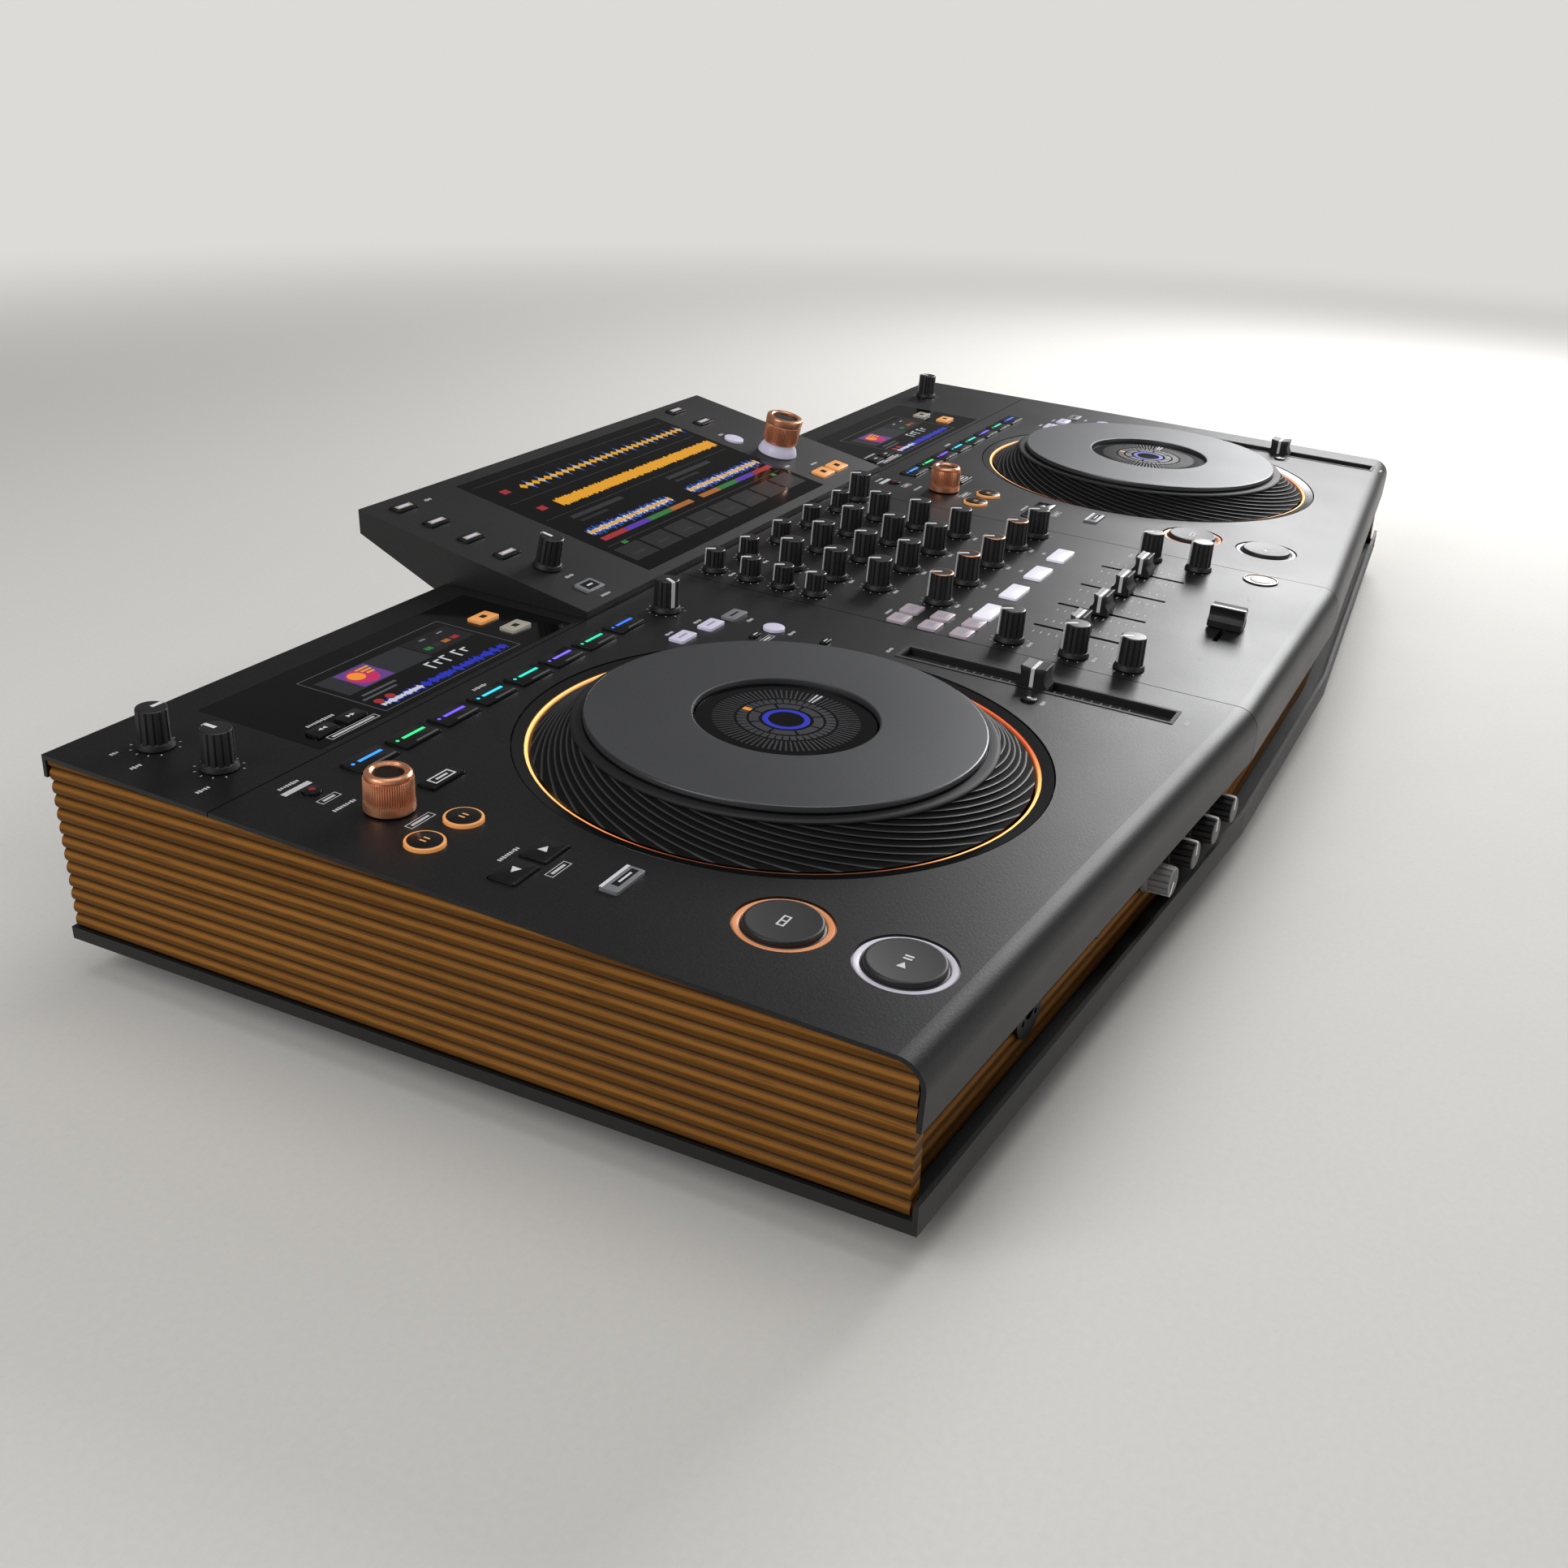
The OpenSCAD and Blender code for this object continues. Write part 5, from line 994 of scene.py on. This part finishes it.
# Lit pad lines: clear colours, from blue over green and violet to blue again along the row.
PAD_GLOWS = [
    lit(f"pad_{name}", code, 1.0) for name, code in (
        ("blue", "#2f8cff"), ("green", "#2fd07a"), ("violet", "#6a4dff"), ("cyan", "#25c3ea"),
        ("teal", "#21cdb4"), ("indigo", "#7058ff"), ("sea_green", "#22c79a"), ("azure", "#2f6dff"))]
PAD_FIRST, PAD_PITCH, PAD_W, PAD_D = (75, 296.5), 29.5, 25, 13
PAD_LIGHTS = [block(15, 1.7, 1.5, 1.2), disc(0.9, -9.5, 1.2, 20)]
# The painted highlight: a silver line along the front edge of each pad.
PAD_HIGHLIGHT_LINE = [block(15, 1.3, 3.6, -5.2)]
ARROW_KEYS = [(29, 187, -4.4), (50, 187, 4.4)]
FRAMED_KEY, FRAMED_MARK = (78, 260), frame_line(13, 5.4, 0.8) + [block(7.5, 1.2)]
LEVER_AT = (47, 149)
REAR_KEYS = [(285, 262, white_key), (310, 259, white_key), (331, 256, key_grey)]
SLIM_KEYS = [(311, 232), (326, 197)]
LOOP_KEYS, LOOP_MARK = [(29, 230), (54, 230)], [block(0.8, 3.0, x, 0) for x in (-1.3, 1.3)]
INLAY_LOW, INLAY_TOP = KEY_RISE - 0.2, KEY_RISE + 0.3
RED_KEY, WHITE_KEY, DOT_KEY = (38, 296), (327, 229), (317, 78)
ARROW_GLASS = [(86, 333, 15, 8, -2.4), (105, 333, 15, 8, 2.4)]
LIT_GLASS = [(244, 362, 16, 10), (244, 341, 16, 10)]
for side, base in DECKS.items():
    caps = []
    for i, glow in enumerate(PAD_GLOWS):
        place = spot(base, PAD_FIRST[0] + i * PAD_PITCH, PAD_FIRST[1])
        pad = key_cap(PAD_W, PAD_D, SHEET)
        caps += key(place, pad, key_black, (PAD_LIGHTS, glow), (PAD_HIGHLIGHT_LINE, pad_edge_highlight))
    for u, s, point in ARROW_KEYS:
        caps += key(spot(base, u, s), key_cap(18, 13, SHEET, 1.0), key_black, ([wedge(point)], legend_ink))
    caps += key(spot(base, *FRAMED_KEY), key_cap(22, 9, SHEET), key_black, (FRAMED_MARK, legend_ink))
    caps += key(
        spot(base, *LEVER_AT), key_cap(21, 9, SHEET), key_grey, ([block(20.4, 1.6, 0, 3.4)], legend_ink),
        ([block(15, 3.4, 1.2, -0.6)], key_black), ([block(9, 1.0, 1.2, -0.6)], legend_ink, MARK_H * 2))
    for u, s, finish in REAR_KEYS:
        ink = shade_key if finish is white_key else key_black
        caps += key(spot(base, u, s), key_cap(16, 9, SHEET), finish, ([block(8.5, 1.4)], ink))
    for at in SLIM_KEYS:
        caps += key(spot(base, *at), key_cap(8, 4, SHEET), key_black, ([block(4.5, 0.9)], legend_ink))
    for at in LOOP_KEYS:
        place = spot(base, *at)
        inlay = turned([(7.3, INLAY_LOW), (7.3, INLAY_TOP - 0.15), (7.0, INLAY_TOP)], 48)
        caps += key(place, round_cap(8.5, SHEET), orange_key)
        caps.append((inlay, place, key_black))
        caps += marks(place @ Matrix.Translation((0, 0, INLAY_TOP - KEY_RISE)), LOOP_MARK, orange_key)
    caps += key(spot(base, *RED_KEY), round_cap(4, SHEET), key_black, ([disc(1.5, 0, 0, 24)], dot_red))
    caps += key(spot(base, *WHITE_KEY), round_cap(6, SHEET), white_key)
    caps += key(spot(base, *DOT_KEY), round_cap(4, SHEET), key_black, ([disc(1.1, 0, 0, 24)], legend_ink))
    for u, s, w, d, point in ARROW_GLASS:
        arrows = [wedge(point, x) for x in (-1.3, 1.3)]
        caps += key(spot(base, u, s), key_cap(w, d, SHEET), key_black, (arrows, legend_ink))
    tones = (orange_key, pearl_key) if side == "left" else (pearl_key, orange_key)
    for (u, s, w, d), finish in zip(LIT_GLASS, tones):
        caps += key(spot(base, u, s), key_cap(w, d, SHEET), finish, ([block(4.2, 3.4)], key_black))
    assemble(side + "_key_caps", side + "_keys", caps, [side + "_keys"])

# The mixer's keys: six effect keys with a darker middle, and a cue key to each channel.
EFFECT_KEYS = [(x - COLUMN_X, s) for x in (-8, 10) for s in (179, 160, 141)]
CHANNEL_KEY_S = 141
caps = []
for at in EFFECT_KEYS:
    caps += key(spot(MIXER, *at), key_cap(14, 11, SHEET), rose_key, ([block(7, 4.2)], shade_key))
for x in CHANNELS:
    caps += key(spot(MIXER, x, CHANNEL_KEY_S), key_cap(26, 11, SHEET), cue_key)
assemble("mixer_key_caps", "mixer_keys", caps, ["mixer_keys"])

# The mixer's round key: a touch key that is glued on the panel beside the crossfader, with a black
# bezel, a lit orange ring and a pale domed middle.
ROUND_KEY_AT, ROUND_KEY_R = (102, 21), 11
bezel = turned(about(ROUND_KEY_R, 0, [
    (-1.5, 0.05), (0, 0.05), (0, 0.6), (-0.4, 0.9), (-1.1, 0.9), (-1.5, 0.5)]), 64, True)
guide = turned(about(ROUND_KEY_R, 0, [(-4, 0.05), (-1.55, 0.05), (-1.55, 0.4), (-4, 0.5)]), 64, True)
dome = turned(about(ROUND_KEY_R, 0, [
    (-4.05, 0.05), (-4.05, 0.7), (-4.6, 1.0), (-7, 1.2), (-10, 1.3)]), 64)
place = spot(MIXER, *ROUND_KEY_AT)
assemble("mixer_round_key", "console", [
    (bezel, place, key_black), (guide, place, orange_key), (dome, place, white_key)])

# The screen's keys: pale lit labels beside the glass, a framed key, two orange keys and a round
# white key by the selector.
LABEL_KEYS = [(24, v) for v in (146, 122, 97, 72)] + [(336, 148), (336, 124)]
GREY_KEY, ORANGE_KEYS, POD_ROUND_KEY = (28, 18), [(330, 20), (352, 20)], (326, 92)
caps = []
for at in LABEL_KEYS:
    caps += key(
        spot(POD, *at), key_cap(17, 8, POD_WALL), key_black, ([block(13, 3.4)], pearl_key),
        ([block(9, 1.5)], white_key, MARK_H * 2))
caps += key(
    spot(POD, *GREY_KEY), key_cap(16, 11, POD_WALL), key_grey, ([block(11, 7)], key_black),
    ([block(5, 1.2)], legend_ink, MARK_H * 2))
for at in ORANGE_KEYS:
    caps += key(spot(POD, *at), key_cap(18, 11, POD_WALL), orange_key, ([block(5, 4)], key_black))
caps += key(spot(POD, *POD_ROUND_KEY), round_cap(7, POD_WALL), white_key)
assemble("screen_key_caps", "screen_keys", caps, ["screen_keys"])


# Cue and play buttons: large dished caps on springs, in the lit rings. They are moulded in black
# and printed with one plain mark each.
BUTTON_LOW, BUTTON_RISE = 6.5, 1.6
CAP_R = CUE_R - 0.9
# Soft-touch paint over ABS: matt dark grey, with a broad weak highlight in the dish.
soft_touch = grained("soft_touch_black", "#1a1a1c", "#262629", 0.6, 0.45, 0.1)
BUTTON = about(CUE_R, -BUTTON_LOW, [(1.6, 0), (1.6, 1.4), (0, 1.41)]) + [(CUE_R, -1.4), (CAP_R, -1.0)]
BUTTON += about(CAP_R, BUTTON_RISE, [(0, -1), (-0.15, -0.45), (-0.5, -0.12), (-1, 0), (-1.5, -0.05)])
BUTTON += about(0, BUTTON_RISE, [(CAP_R / 2, -0.4), (3, -0.48), (0.5, -0.5)])
CUE_MARK = frame_line(7, 3.4, 0.7) + [block(0.7, 2.2, 0, 0)]
PLAY_MARK = [wedge(3.8, -3.2, 0), block(1.0, 3.6, 1.4, 0), block(1.0, 3.6, 3.4, 0)]
for side, base in DECKS.items():
    for button, at, shapes in (("cue", CUE_AT, CUE_MARK), ("play", PLAY_AT, PLAY_MARK)):
        place = spot(base, *at)
        top = place @ Matrix.Translation((0, 0, BUTTON_RISE - KEY_RISE - 0.46))
        chunks = [(turned(BUTTON), place, soft_touch)] + marks(top, shapes, legend_ink, 0.12)
        piece = f"{side}_{button}"
        assemble(piece + "_cap", piece, chunks, [piece + "_button"])


# Knobs: fluted caps moulded over a plastic core, pushed on the flats of the potentiometers'
# shafts. A white line runs over the top and down one flank of each.
KNOB_LIFT, KNOB_FOOT, KNOB_EDGE, SHAFT_R = 0.6, 2.4, 1.3, 3
FLUTES, FLUTE_STEPS, FLUTE_DEEP = 14, 10, 0.55
KNOB_TURN, CORNER_TURN, REAR_TURNS = 36, 150, (0, -90)
POINTER_W = 2.0
SHAFT_DEEP = 2.6
# Rubberised ABS: black and matt, slightly paler where the ridges are rubbed.
knob_rubber = grained("rubberised_black_abs", "#121213", "#1f1f21", 0.7, 0.5, 0.15)
# Smooth moulded top: black with a soft sheen that rounds off the knob.
knob_top = grained("satin_black_cap", "#1b1b1d", "#29292c", 0.8, 0.32, 0.06)
# Moulded-in white: the pointer, a little translucent and bright from every side.
pointer_white = grained("moulded_white_abs", "#dcdcdc", "#efefee", 0.8, 0.4, 0.04)
# Moulded grey: the one knob of the front row that differs from the others.
knob_grey = grained("moulded_grey_abs", "#8c8c8e", "#a4a4a6", 0.8, 0.45, 0.08)
# Copper-plated metal: warm, bright along its edges and finely brushed.
copper = grained("brushed_copper_plate", "#d9916a", "#e8a885", 0.3, 0.3, 0.03, 0.75)


def fluted(r, z, count, steps, deep, turn=0.0):
    """A ring whose radius dips at each flute."""
    points = []
    for i in range(count * steps):
        at = math.tau * i / (count * steps) + turn
        dip = max(0.0, 1 - abs(2 * (i % steps) / steps - 1) * 2.6)
        reach = r - deep * dip ** 0.6
        points.append((reach * math.cos(at), reach * math.sin(at), z))
    return points


def knob_shape(r, h):
    """Body of a knob: a flared foot, the flutes, and the edge where its top begins."""
    levels = about(r, KNOB_LIFT, [
        (KNOB_EDGE, 0, 0), (KNOB_EDGE - 0.1, 0.5, 0), (0.5, KNOB_FOOT - 0.2, 0), (0.1, KNOB_FOOT, 0),
        (0, KNOB_FOOT + 0.4, FLUTE_DEEP)])
    levels += about(r, KNOB_LIFT + h, [(-0.25, -0.9, FLUTE_DEEP), (-0.4, -0.5, FLUTE_DEEP * 0.5)])
    return skin([fluted(size, z, FLUTES, FLUTE_STEPS, deep) for size, z, deep in levels])


def knob_chunks(place, r=KNOB_R, h=KNOB_H, body=knob_rubber, edge=knob_top):
    """A knob with its top, its pointer and the end of the shaft below it."""
    top = KNOB_LIFT + h
    cap = turned(about(r, top, [(-0.5, -0.5), (-0.45, -0.35), (-0.75, -0.08), (-1.2, 0)]), 64)
    face = turned(about(r, top, [(-1.3, -0.2), (-1.3, 0.02), (-1.5, 0.03)]), 64)
    line = plate(block(POINTER_W, r - 0.7, 0, (r - 0.7) / 2 + 0.1), 0.12, top)
    side_low = KNOB_LIFT + KNOB_FOOT + 0.8
    ends = ((side_low, r), (top - 0.3, r - 0.3))
    flank = [(x, y, z) for z, y in ends for x, y in block(POINTER_W, 0.9, 0, y - 0.05)]
    bridge = [flank[4:], [(x, y, top + 0.12) for x, y in block(POINTER_W, 0.9, 0, r - 0.9)]]
    shaft = turned([(SHAFT_R, -SHAFT_DEEP), (SHAFT_R, KNOB_LIFT + 0.1)], 24)
    return [
        (knob_shape(r, h), place, body), (cap, place, edge), (face, place, knob_top),
        (line, place, pointer_white), (skin([flank[:4], flank[4:]]), place, pointer_white),
        (skin(bridge), place, pointer_white), (shaft, place, pot_steel)]


KNOB_ROWS = [(row, MIXER, [(x, s, KNOB_TURN) for x in CHANNELS]) for row, s in ROWS.items()]
KNOB_ROWS += [
    ("column", MIXER, [(x, s, KNOB_TURN) for x, s in TALL_COLUMN]),
    ("rear", LEFT_DECK, [(u, s, turn) for (u, s), turn in zip(STRIP_KNOBS, REAR_TURNS)])]
for row, base, places in KNOB_ROWS:
    for i, (u, s, turn) in enumerate(places):
        chunks = knob_chunks(spot(base, u, s, 0, turn), edge=copper if row == "filter" else knob_top)
        assemble(f"{row}_cap_{i + 1}", f"{row}_{i + 1}", chunks, [f"{row}_knob_{i + 1}"])

# The knobs that share the casing's body: the trims, the small column, the right column, the three
# single ones, and the row on the front face.
POD_KNOB = (30, 48)
FRONT_RECESS, FRONT_AXIS, FRONT_KNOB_H = 12, 45.6, 13
FRONT_KNOBS, GREY_TURN = (123, 91, 60, 31), math.radians(150)
FRONT_CORNER, FRONT_SWEEP = Vector((-490.25, -222.5, 0)) * MM, 27
FRONT_TURN = math.atan2(FRONT_SWEEP, DECK_W)
FRONT_RUN = math.hypot(FRONT_SWEEP, DECK_W)
FRONT_LEFT = Matrix.Translation(FRONT_CORNER) @ Matrix.Rotation(-FRONT_TURN, 4, "Z") @ Matrix.Scale(MM, 4)
OUT_OF_FRONT = Matrix.Rotation(math.pi / 2, 4, "X")
fixed = []
for at in mixer_small:
    fixed += knob_chunks(spot(MIXER, *at, 0, KNOB_TURN), SMALL_R, SMALL_H)
for at in RIGHT_COLUMN:
    fixed += knob_chunks(spot(MIXER, *at, 0, KNOB_TURN))
for base, at, turn in (
        (LEFT_DECK, CORNER_KNOB, CORNER_TURN), (RIGHT_DECK, RIGHT_STRIP_KNOB, 0), (POD, POD_KNOB, 0)):
    fixed += knob_chunks(spot(base, *at, 0, turn))
for i, back in enumerate(FRONT_KNOBS):
    place = FRONT_LEFT @ Matrix.Translation((FRONT_RUN - back, FRONT_RECESS, FRONT_AXIS)) @ OUT_OF_FRONT
    tones = (knob_rubber, knob_top) if i else (knob_grey, knob_grey)
    turn = Matrix.Rotation(0 if i else GREY_TURN, 4, "Z")
    fixed += knob_chunks(place @ turn, KNOB_R, FRONT_KNOB_H, *tones)
assemble("fixed_knob_caps", "console", fixed, ["small_knobs"])


# Loop knobs and selector: turned metal knobs, copper plated, with a fine knurl to grip. The loop
# knobs have a deep hollow top; the selector stands on a lit collar.
LOOP_AT, LOOP_R, LOOP_H = (44, 260), 10.6, 17.5
SELECTOR_R, SELECTOR_H, SELECTOR_BASE = 13, 27, 8
KNURLS, KNURL_STEPS, KNURL_DEEP = 64, 6, 0.6
BORE_R = 5.0
# Shadowed bore: dark metal that has no polish.
dark_bore = grained("dark_turned_bore", "#14100e", "#241a15", 0.8, 0.5, 0.1, 0.6)


def knurled(levels):
    """A closed ring of metal: radius, height and depth of the knurl at each level."""
    return skin([fluted(r, z, KNURLS, KNURL_STEPS, deep) for r, z, deep in levels], True)


LOOP_TOP = KNOB_LIFT + LOOP_H
LOOP_SHAPE = [(BORE_R, KNOB_LIFT, 0)] + about(LOOP_R, KNOB_LIFT, [
    (-0.2, 0, 0), (0.25, 0.5, 0), (0.2, 3.4, 0), (0.05, 4.4, KNURL_DEEP * 0.4), (0, 6.4, KNURL_DEEP)])
LOOP_SHAPE += about(LOOP_R, LOOP_TOP, [
    (-0.1, -3.2, KNURL_DEEP), (-0.4, -2.7, KNURL_DEEP * 0.6), (-1.1, -2.6, 0), (-1.1, -2.2, 0),
    (-0.6, -2.0, 0), (-0.7, -1.2, 0), (-1.5, -0.25, 0), (-2.1, 0, 0), (-3.0, -0.1, 0), (-4.0, -1.0, 0),
    (-4.2, -2.0, 0)]) + [(BORE_R, LOOP_TOP - 2.4, 0)]
for side, base in DECKS.items():
    place = spot(base, *LOOP_AT)
    hollow = turned(about(LOOP_R, LOOP_TOP, [(-4.1, -2.3), (-4.1, -1.5), (-6.6, -1.7)]), 64)
    shaft = turned([(SHAFT_R, -SHAFT_DEEP), (SHAFT_R, LOOP_TOP - 3)], 24)
    assemble(side + "_loop_cap", side + "_loop", [
        (knurled(LOOP_SHAPE), place, copper), (hollow, place, dark_bore), (shaft, place, pot_steel)],
        [side + "_loop_knob"])

place = spot(POD, *SELECTOR_AT)
SELECTOR_LOW = KNOB_LIFT + SELECTOR_BASE
SELECTOR_TOP = KNOB_LIFT + SELECTOR_H
SELECTOR_SHAPE = [(BORE_R, SELECTOR_LOW, 0)] + about(SELECTOR_R, SELECTOR_LOW, [
    (-1.4, 0, 0), (-0.9, 0.6, 0), (-0.9, 2, 0), (-0.4, 2.6, KNURL_DEEP)])
SELECTOR_SHAPE += about(SELECTOR_R, SELECTOR_TOP, [
    (-0.2, -6, KNURL_DEEP), (-0.6, -5.4, 0), (-0.6, -5, 0), (0, -4.4, 0), (0, -1.4, 0), (-0.4, -0.4, 0),
    (-1.2, 0, 0), (-3.2, 0, 0), (-3.9, -0.5, 0), (-4, -1.5, 0)]) + [(BORE_R, SELECTOR_TOP - 2, 0)]
COLLAR = about(SELECTOR_R, KNOB_LIFT, [(1, 0), (1, 0.8)])
COLLAR += about(SELECTOR_R, SELECTOR_LOW, [(0, -4), (-3, -0.02)])
face = turned(about(SELECTOR_R, SELECTOR_TOP, [(-4.02, -1.9), (-4.02, -1.4), (-10, -1.5)]), 64)
shaft = turned([(SHAFT_R, -SHAFT_DEEP - 1), (SHAFT_R, SELECTOR_TOP - 2.2)], 24)
assemble("selector_cap", "selector", [
    (knurled(SELECTOR_SHAPE), place, copper), (turned(COLLAR), place, white_key), (face, place, dark_bore),
    (shaft, place, pot_steel)], ["selector_knob"])


# Faders: waisted caps pushed on the flat stems of the slide units. They are moulded in black with
# a white line along the top that runs down both ends.
CAP_W, CAP_L, CAP_H = 16, 11, 12
STEM_W, STEM_L, STEM_LOW = 2, 6, 11
TROUGH_D, CAP_LIFT = 5, 1
TEMPO_CAP = (13, CAP_L + 6, CAP_H + 3, CAP_LIFT - TROUGH_D)
CROSS_CAP = (CAP_W + 4, CAP_L + 1, CAP_H, CAP_LIFT)


def fader_chunks(place, w, length, h, lift):
    """A fader's cap along Y, its white line and its stem."""
    half = length / 2
    flank = [
        (half, 0), (half, h * 0.3), (half - 1.6, h * 0.46), (half - 2.2, h * 0.62), (half - 2.0, h * 0.8),
        (half - 1.5, h * 0.97), (half - 2.1, h), (0.7, h - 0.8)]
    profile = flank + [(-y, z) for y, z in reversed(flank)]
    rings = []
    for x, draw in ((-w / 2, 0.93), (0.4 - w / 2, 1), (w / 2 - 0.4, 1), (w / 2, 0.93)):
        rings.append([(x, y * draw, lift + z * draw) for y, z in profile])
    top = lift + h - 0.8
    line = plate(block(w - 0.6, POINTER_W), 0.1, top - 0.02)
    ends = []
    for end in (-1, 1):
        mark = plate(block(0.3, POINTER_W, end * (w / 2 - 0.06)), top - lift - 1.4, lift + 1.4)
        ends.append((mark, place, pointer_white))
    stem = plate(block(STEM_W, STEM_L), STEM_LOW + lift + 1, -STEM_LOW)
    return [(skin(rings), place, knob_rubber), (line, place, pointer_white), (stem, place, pot_steel)] + ends


for i, x in enumerate(CHANNELS):
    chunks = fader_chunks(spot(MIXER, x, FADER_S), CAP_W, CAP_L, CAP_H, CAP_LIFT)
    assemble(f"channel_cap_{i + 1}", f"channel_{i + 1}", chunks, [f"channel_fader_{i + 1}"])
chunks = fader_chunks(spot(MIXER, 0, CROSS_S, 0, 90), *CROSS_CAP)
assemble("cross_cap", "cross", chunks, ["crossfader"])
for side, base in DECKS.items():
    chunks = fader_chunks(spot(base, TEMPO_U, TEMPO_S), *TEMPO_CAP)
    assemble(side + "_tempo_cap", side + "_tempo", chunks, [side + "_tempo_fader"])


# Legends: short rows of bars, filled boxes and thin outlines beside the controls, printed with
# the same ink as the dials. They stand where a console has its lettering.
LETTERS = {"Spacing": 1.5, "Width": 0.95, "Least": 1.3, "Most": 2.5, "Swell": 1.7, "Height": INK_H}
# Where each row of bars stands and how many bars it has, and where each box stands and its size.
DECK_WORDS = [
    (37, 308, 8), (36, 277, 9), (40, 197.5, 9), (14, 371, 4), (14, 333, 5), (18, 388, 3), (286, 271, 5),
    (311, 268, 5), (331, 246, 4), (327, 218, 5), (168, 307.5, 7), (337, 164, 5), (337, 1.5, 4),
    (317, 70.5, 4), (94, 341.5, 12)]
DECK_BOXES = [
    (37.5, 286.5, 11, 4), (43, 243.5, 15, 4), (41, 174.5, 13, 4), (311, 225, 12, 4), (98, 325.4, 32, 4)]
DECK_BAR, BOX_LINE = block(16, 3, 36.5, 303), 0.35
MIXER_WORDS = [(x, s - 11.6, 4) for x in CHANNELS for s in (TRIM_ROW, *ROWS.values())]
MIXER_WORDS += [(side * COLUMN_X, s - 11.8, 5) for side in (-1, 1) for s in (303, 116, 79)]
MIXER_WORDS += [(x, 152, 3) for x in CHANNELS] + [(-98, 189, 6), (-60, 19, 2), (60, 19, 2)]
POD_WORDS = [(46, 146, 4), (30, 33, 5), (28, 7, 6), (316, 42, 4), (341, 33, 6), (326, 103, 4)]


def legend(name, base, words):
    """Rows of bars about each place, one run of the tree for each number of bars."""
    for count in sorted({word[2] for word in words}):
        half = (count - 1) / 2 * LETTERS["Spacing"]
        places = [(u - half, s) for u, s, size in words if size == count]
        sizes = dict(LETTERS, Count=count, Seed=count * 3 + 1)
        repeat(f"{name}_{count}", bar_tree, places, sizes, print_ink, base)


for side, base in DECKS.items():
    legend(side + "_legend", base, DECK_WORDS)
    boxes = [(plate(DECK_BAR, INK_H), base, print_ink)]
    for u, s, w, d in DECK_BOXES:
        boxes += [(plate(shape, INK_H), spot(base, u, s), print_ink) for shape in frame_line(w, d, BOX_LINE)]
        boxes.append((plate(block(w - 4, 1.3), INK_H), spot(base, u, s), print_ink))
    assemble(side + "_legend_boxes", "console", boxes)
legend("mixer_legend", MIXER, MIXER_WORDS)
legend("screen_legend", POD, POD_WORDS)


# Tempo troughs: the tempo faders run in liners that are pushed into the metal frames of their
# units, with a thin lip on the panel. A scale is printed on the floor of each.
TROUGH_W, TROUGH_L, TROUGH_WALL, STEM_SLOT = 17.6, 149.6, 1.4, 3.2
# Moulded liner: matt black walls, and a satin floor painted grey, a painted highlight where it catches the
# light from the right.
liner_black = grained("matt_black_liner", "#0c0c0d", "#151516", 0.9, 0.6, 0.1)
liner_floor_painted_light = grained("satin_liner_painted_light", "#2c2d2f", "#3a3b3e", 0.9, 0.32, 0.05)
LINER_T, WALL_DROP, FLOOR_Z = 0.3, 0.3, -4.5
LIP_W, LIP_T, LIP_LOW = 2.0, 0.35, 0.02
TEMPO_ROW = dict(SCALE_ROW, Count=21, Spacing=5, Least=2.6, Most=2.6)
TEMPO_MARKS = [(TEMPO_S - 50, -(TEMPO_U + 4.5))]
inner_w, inner_l = TROUGH_W - 2 * TROUGH_WALL, TROUGH_L - 2 * TROUGH_WALL
floor_w, wall_h = (inner_w - STEM_SLOT) / 2, TROUGH_D - WALL_DROP
for side, base in DECKS.items():
    place = spot(base, TEMPO_U, TEMPO_S)
    liner = []
    for end in (-1, 1):
        for corners, thick, low, finish in (
                (block(floor_w, inner_l, end * (STEM_SLOT + floor_w) / 2), LINER_T, FLOOR_Z, liner_floor_painted_light),
                (block(LIP_W, inner_l + 2 * LIP_W, end * (inner_w + LIP_W) / 2), LIP_T, LIP_LOW, liner_black),
                (block(inner_w, LIP_W, 0, end * (inner_l + LIP_W) / 2), LIP_T, LIP_LOW, liner_black),
                (block(LINER_T, inner_l, end * (inner_w - LINER_T) / 2), wall_h, -TROUGH_D, liner_black),
                (block(inner_w, LINER_T, 0, end * (inner_l - LINER_T) / 2), wall_h, -TROUGH_D, liner_black)):
            liner.append((plate(corners, thick, low), place, finish))
    assemble(side + "_tempo_liner", "console", liner)
    on_floor = base @ Matrix.Translation((0, 0, FLOOR_Z + LINER_T)) @ ASIDE
    repeat(side + "_tempo_scale", bar_tree, TEMPO_MARKS, TEMPO_ROW, print_ink, on_floor)
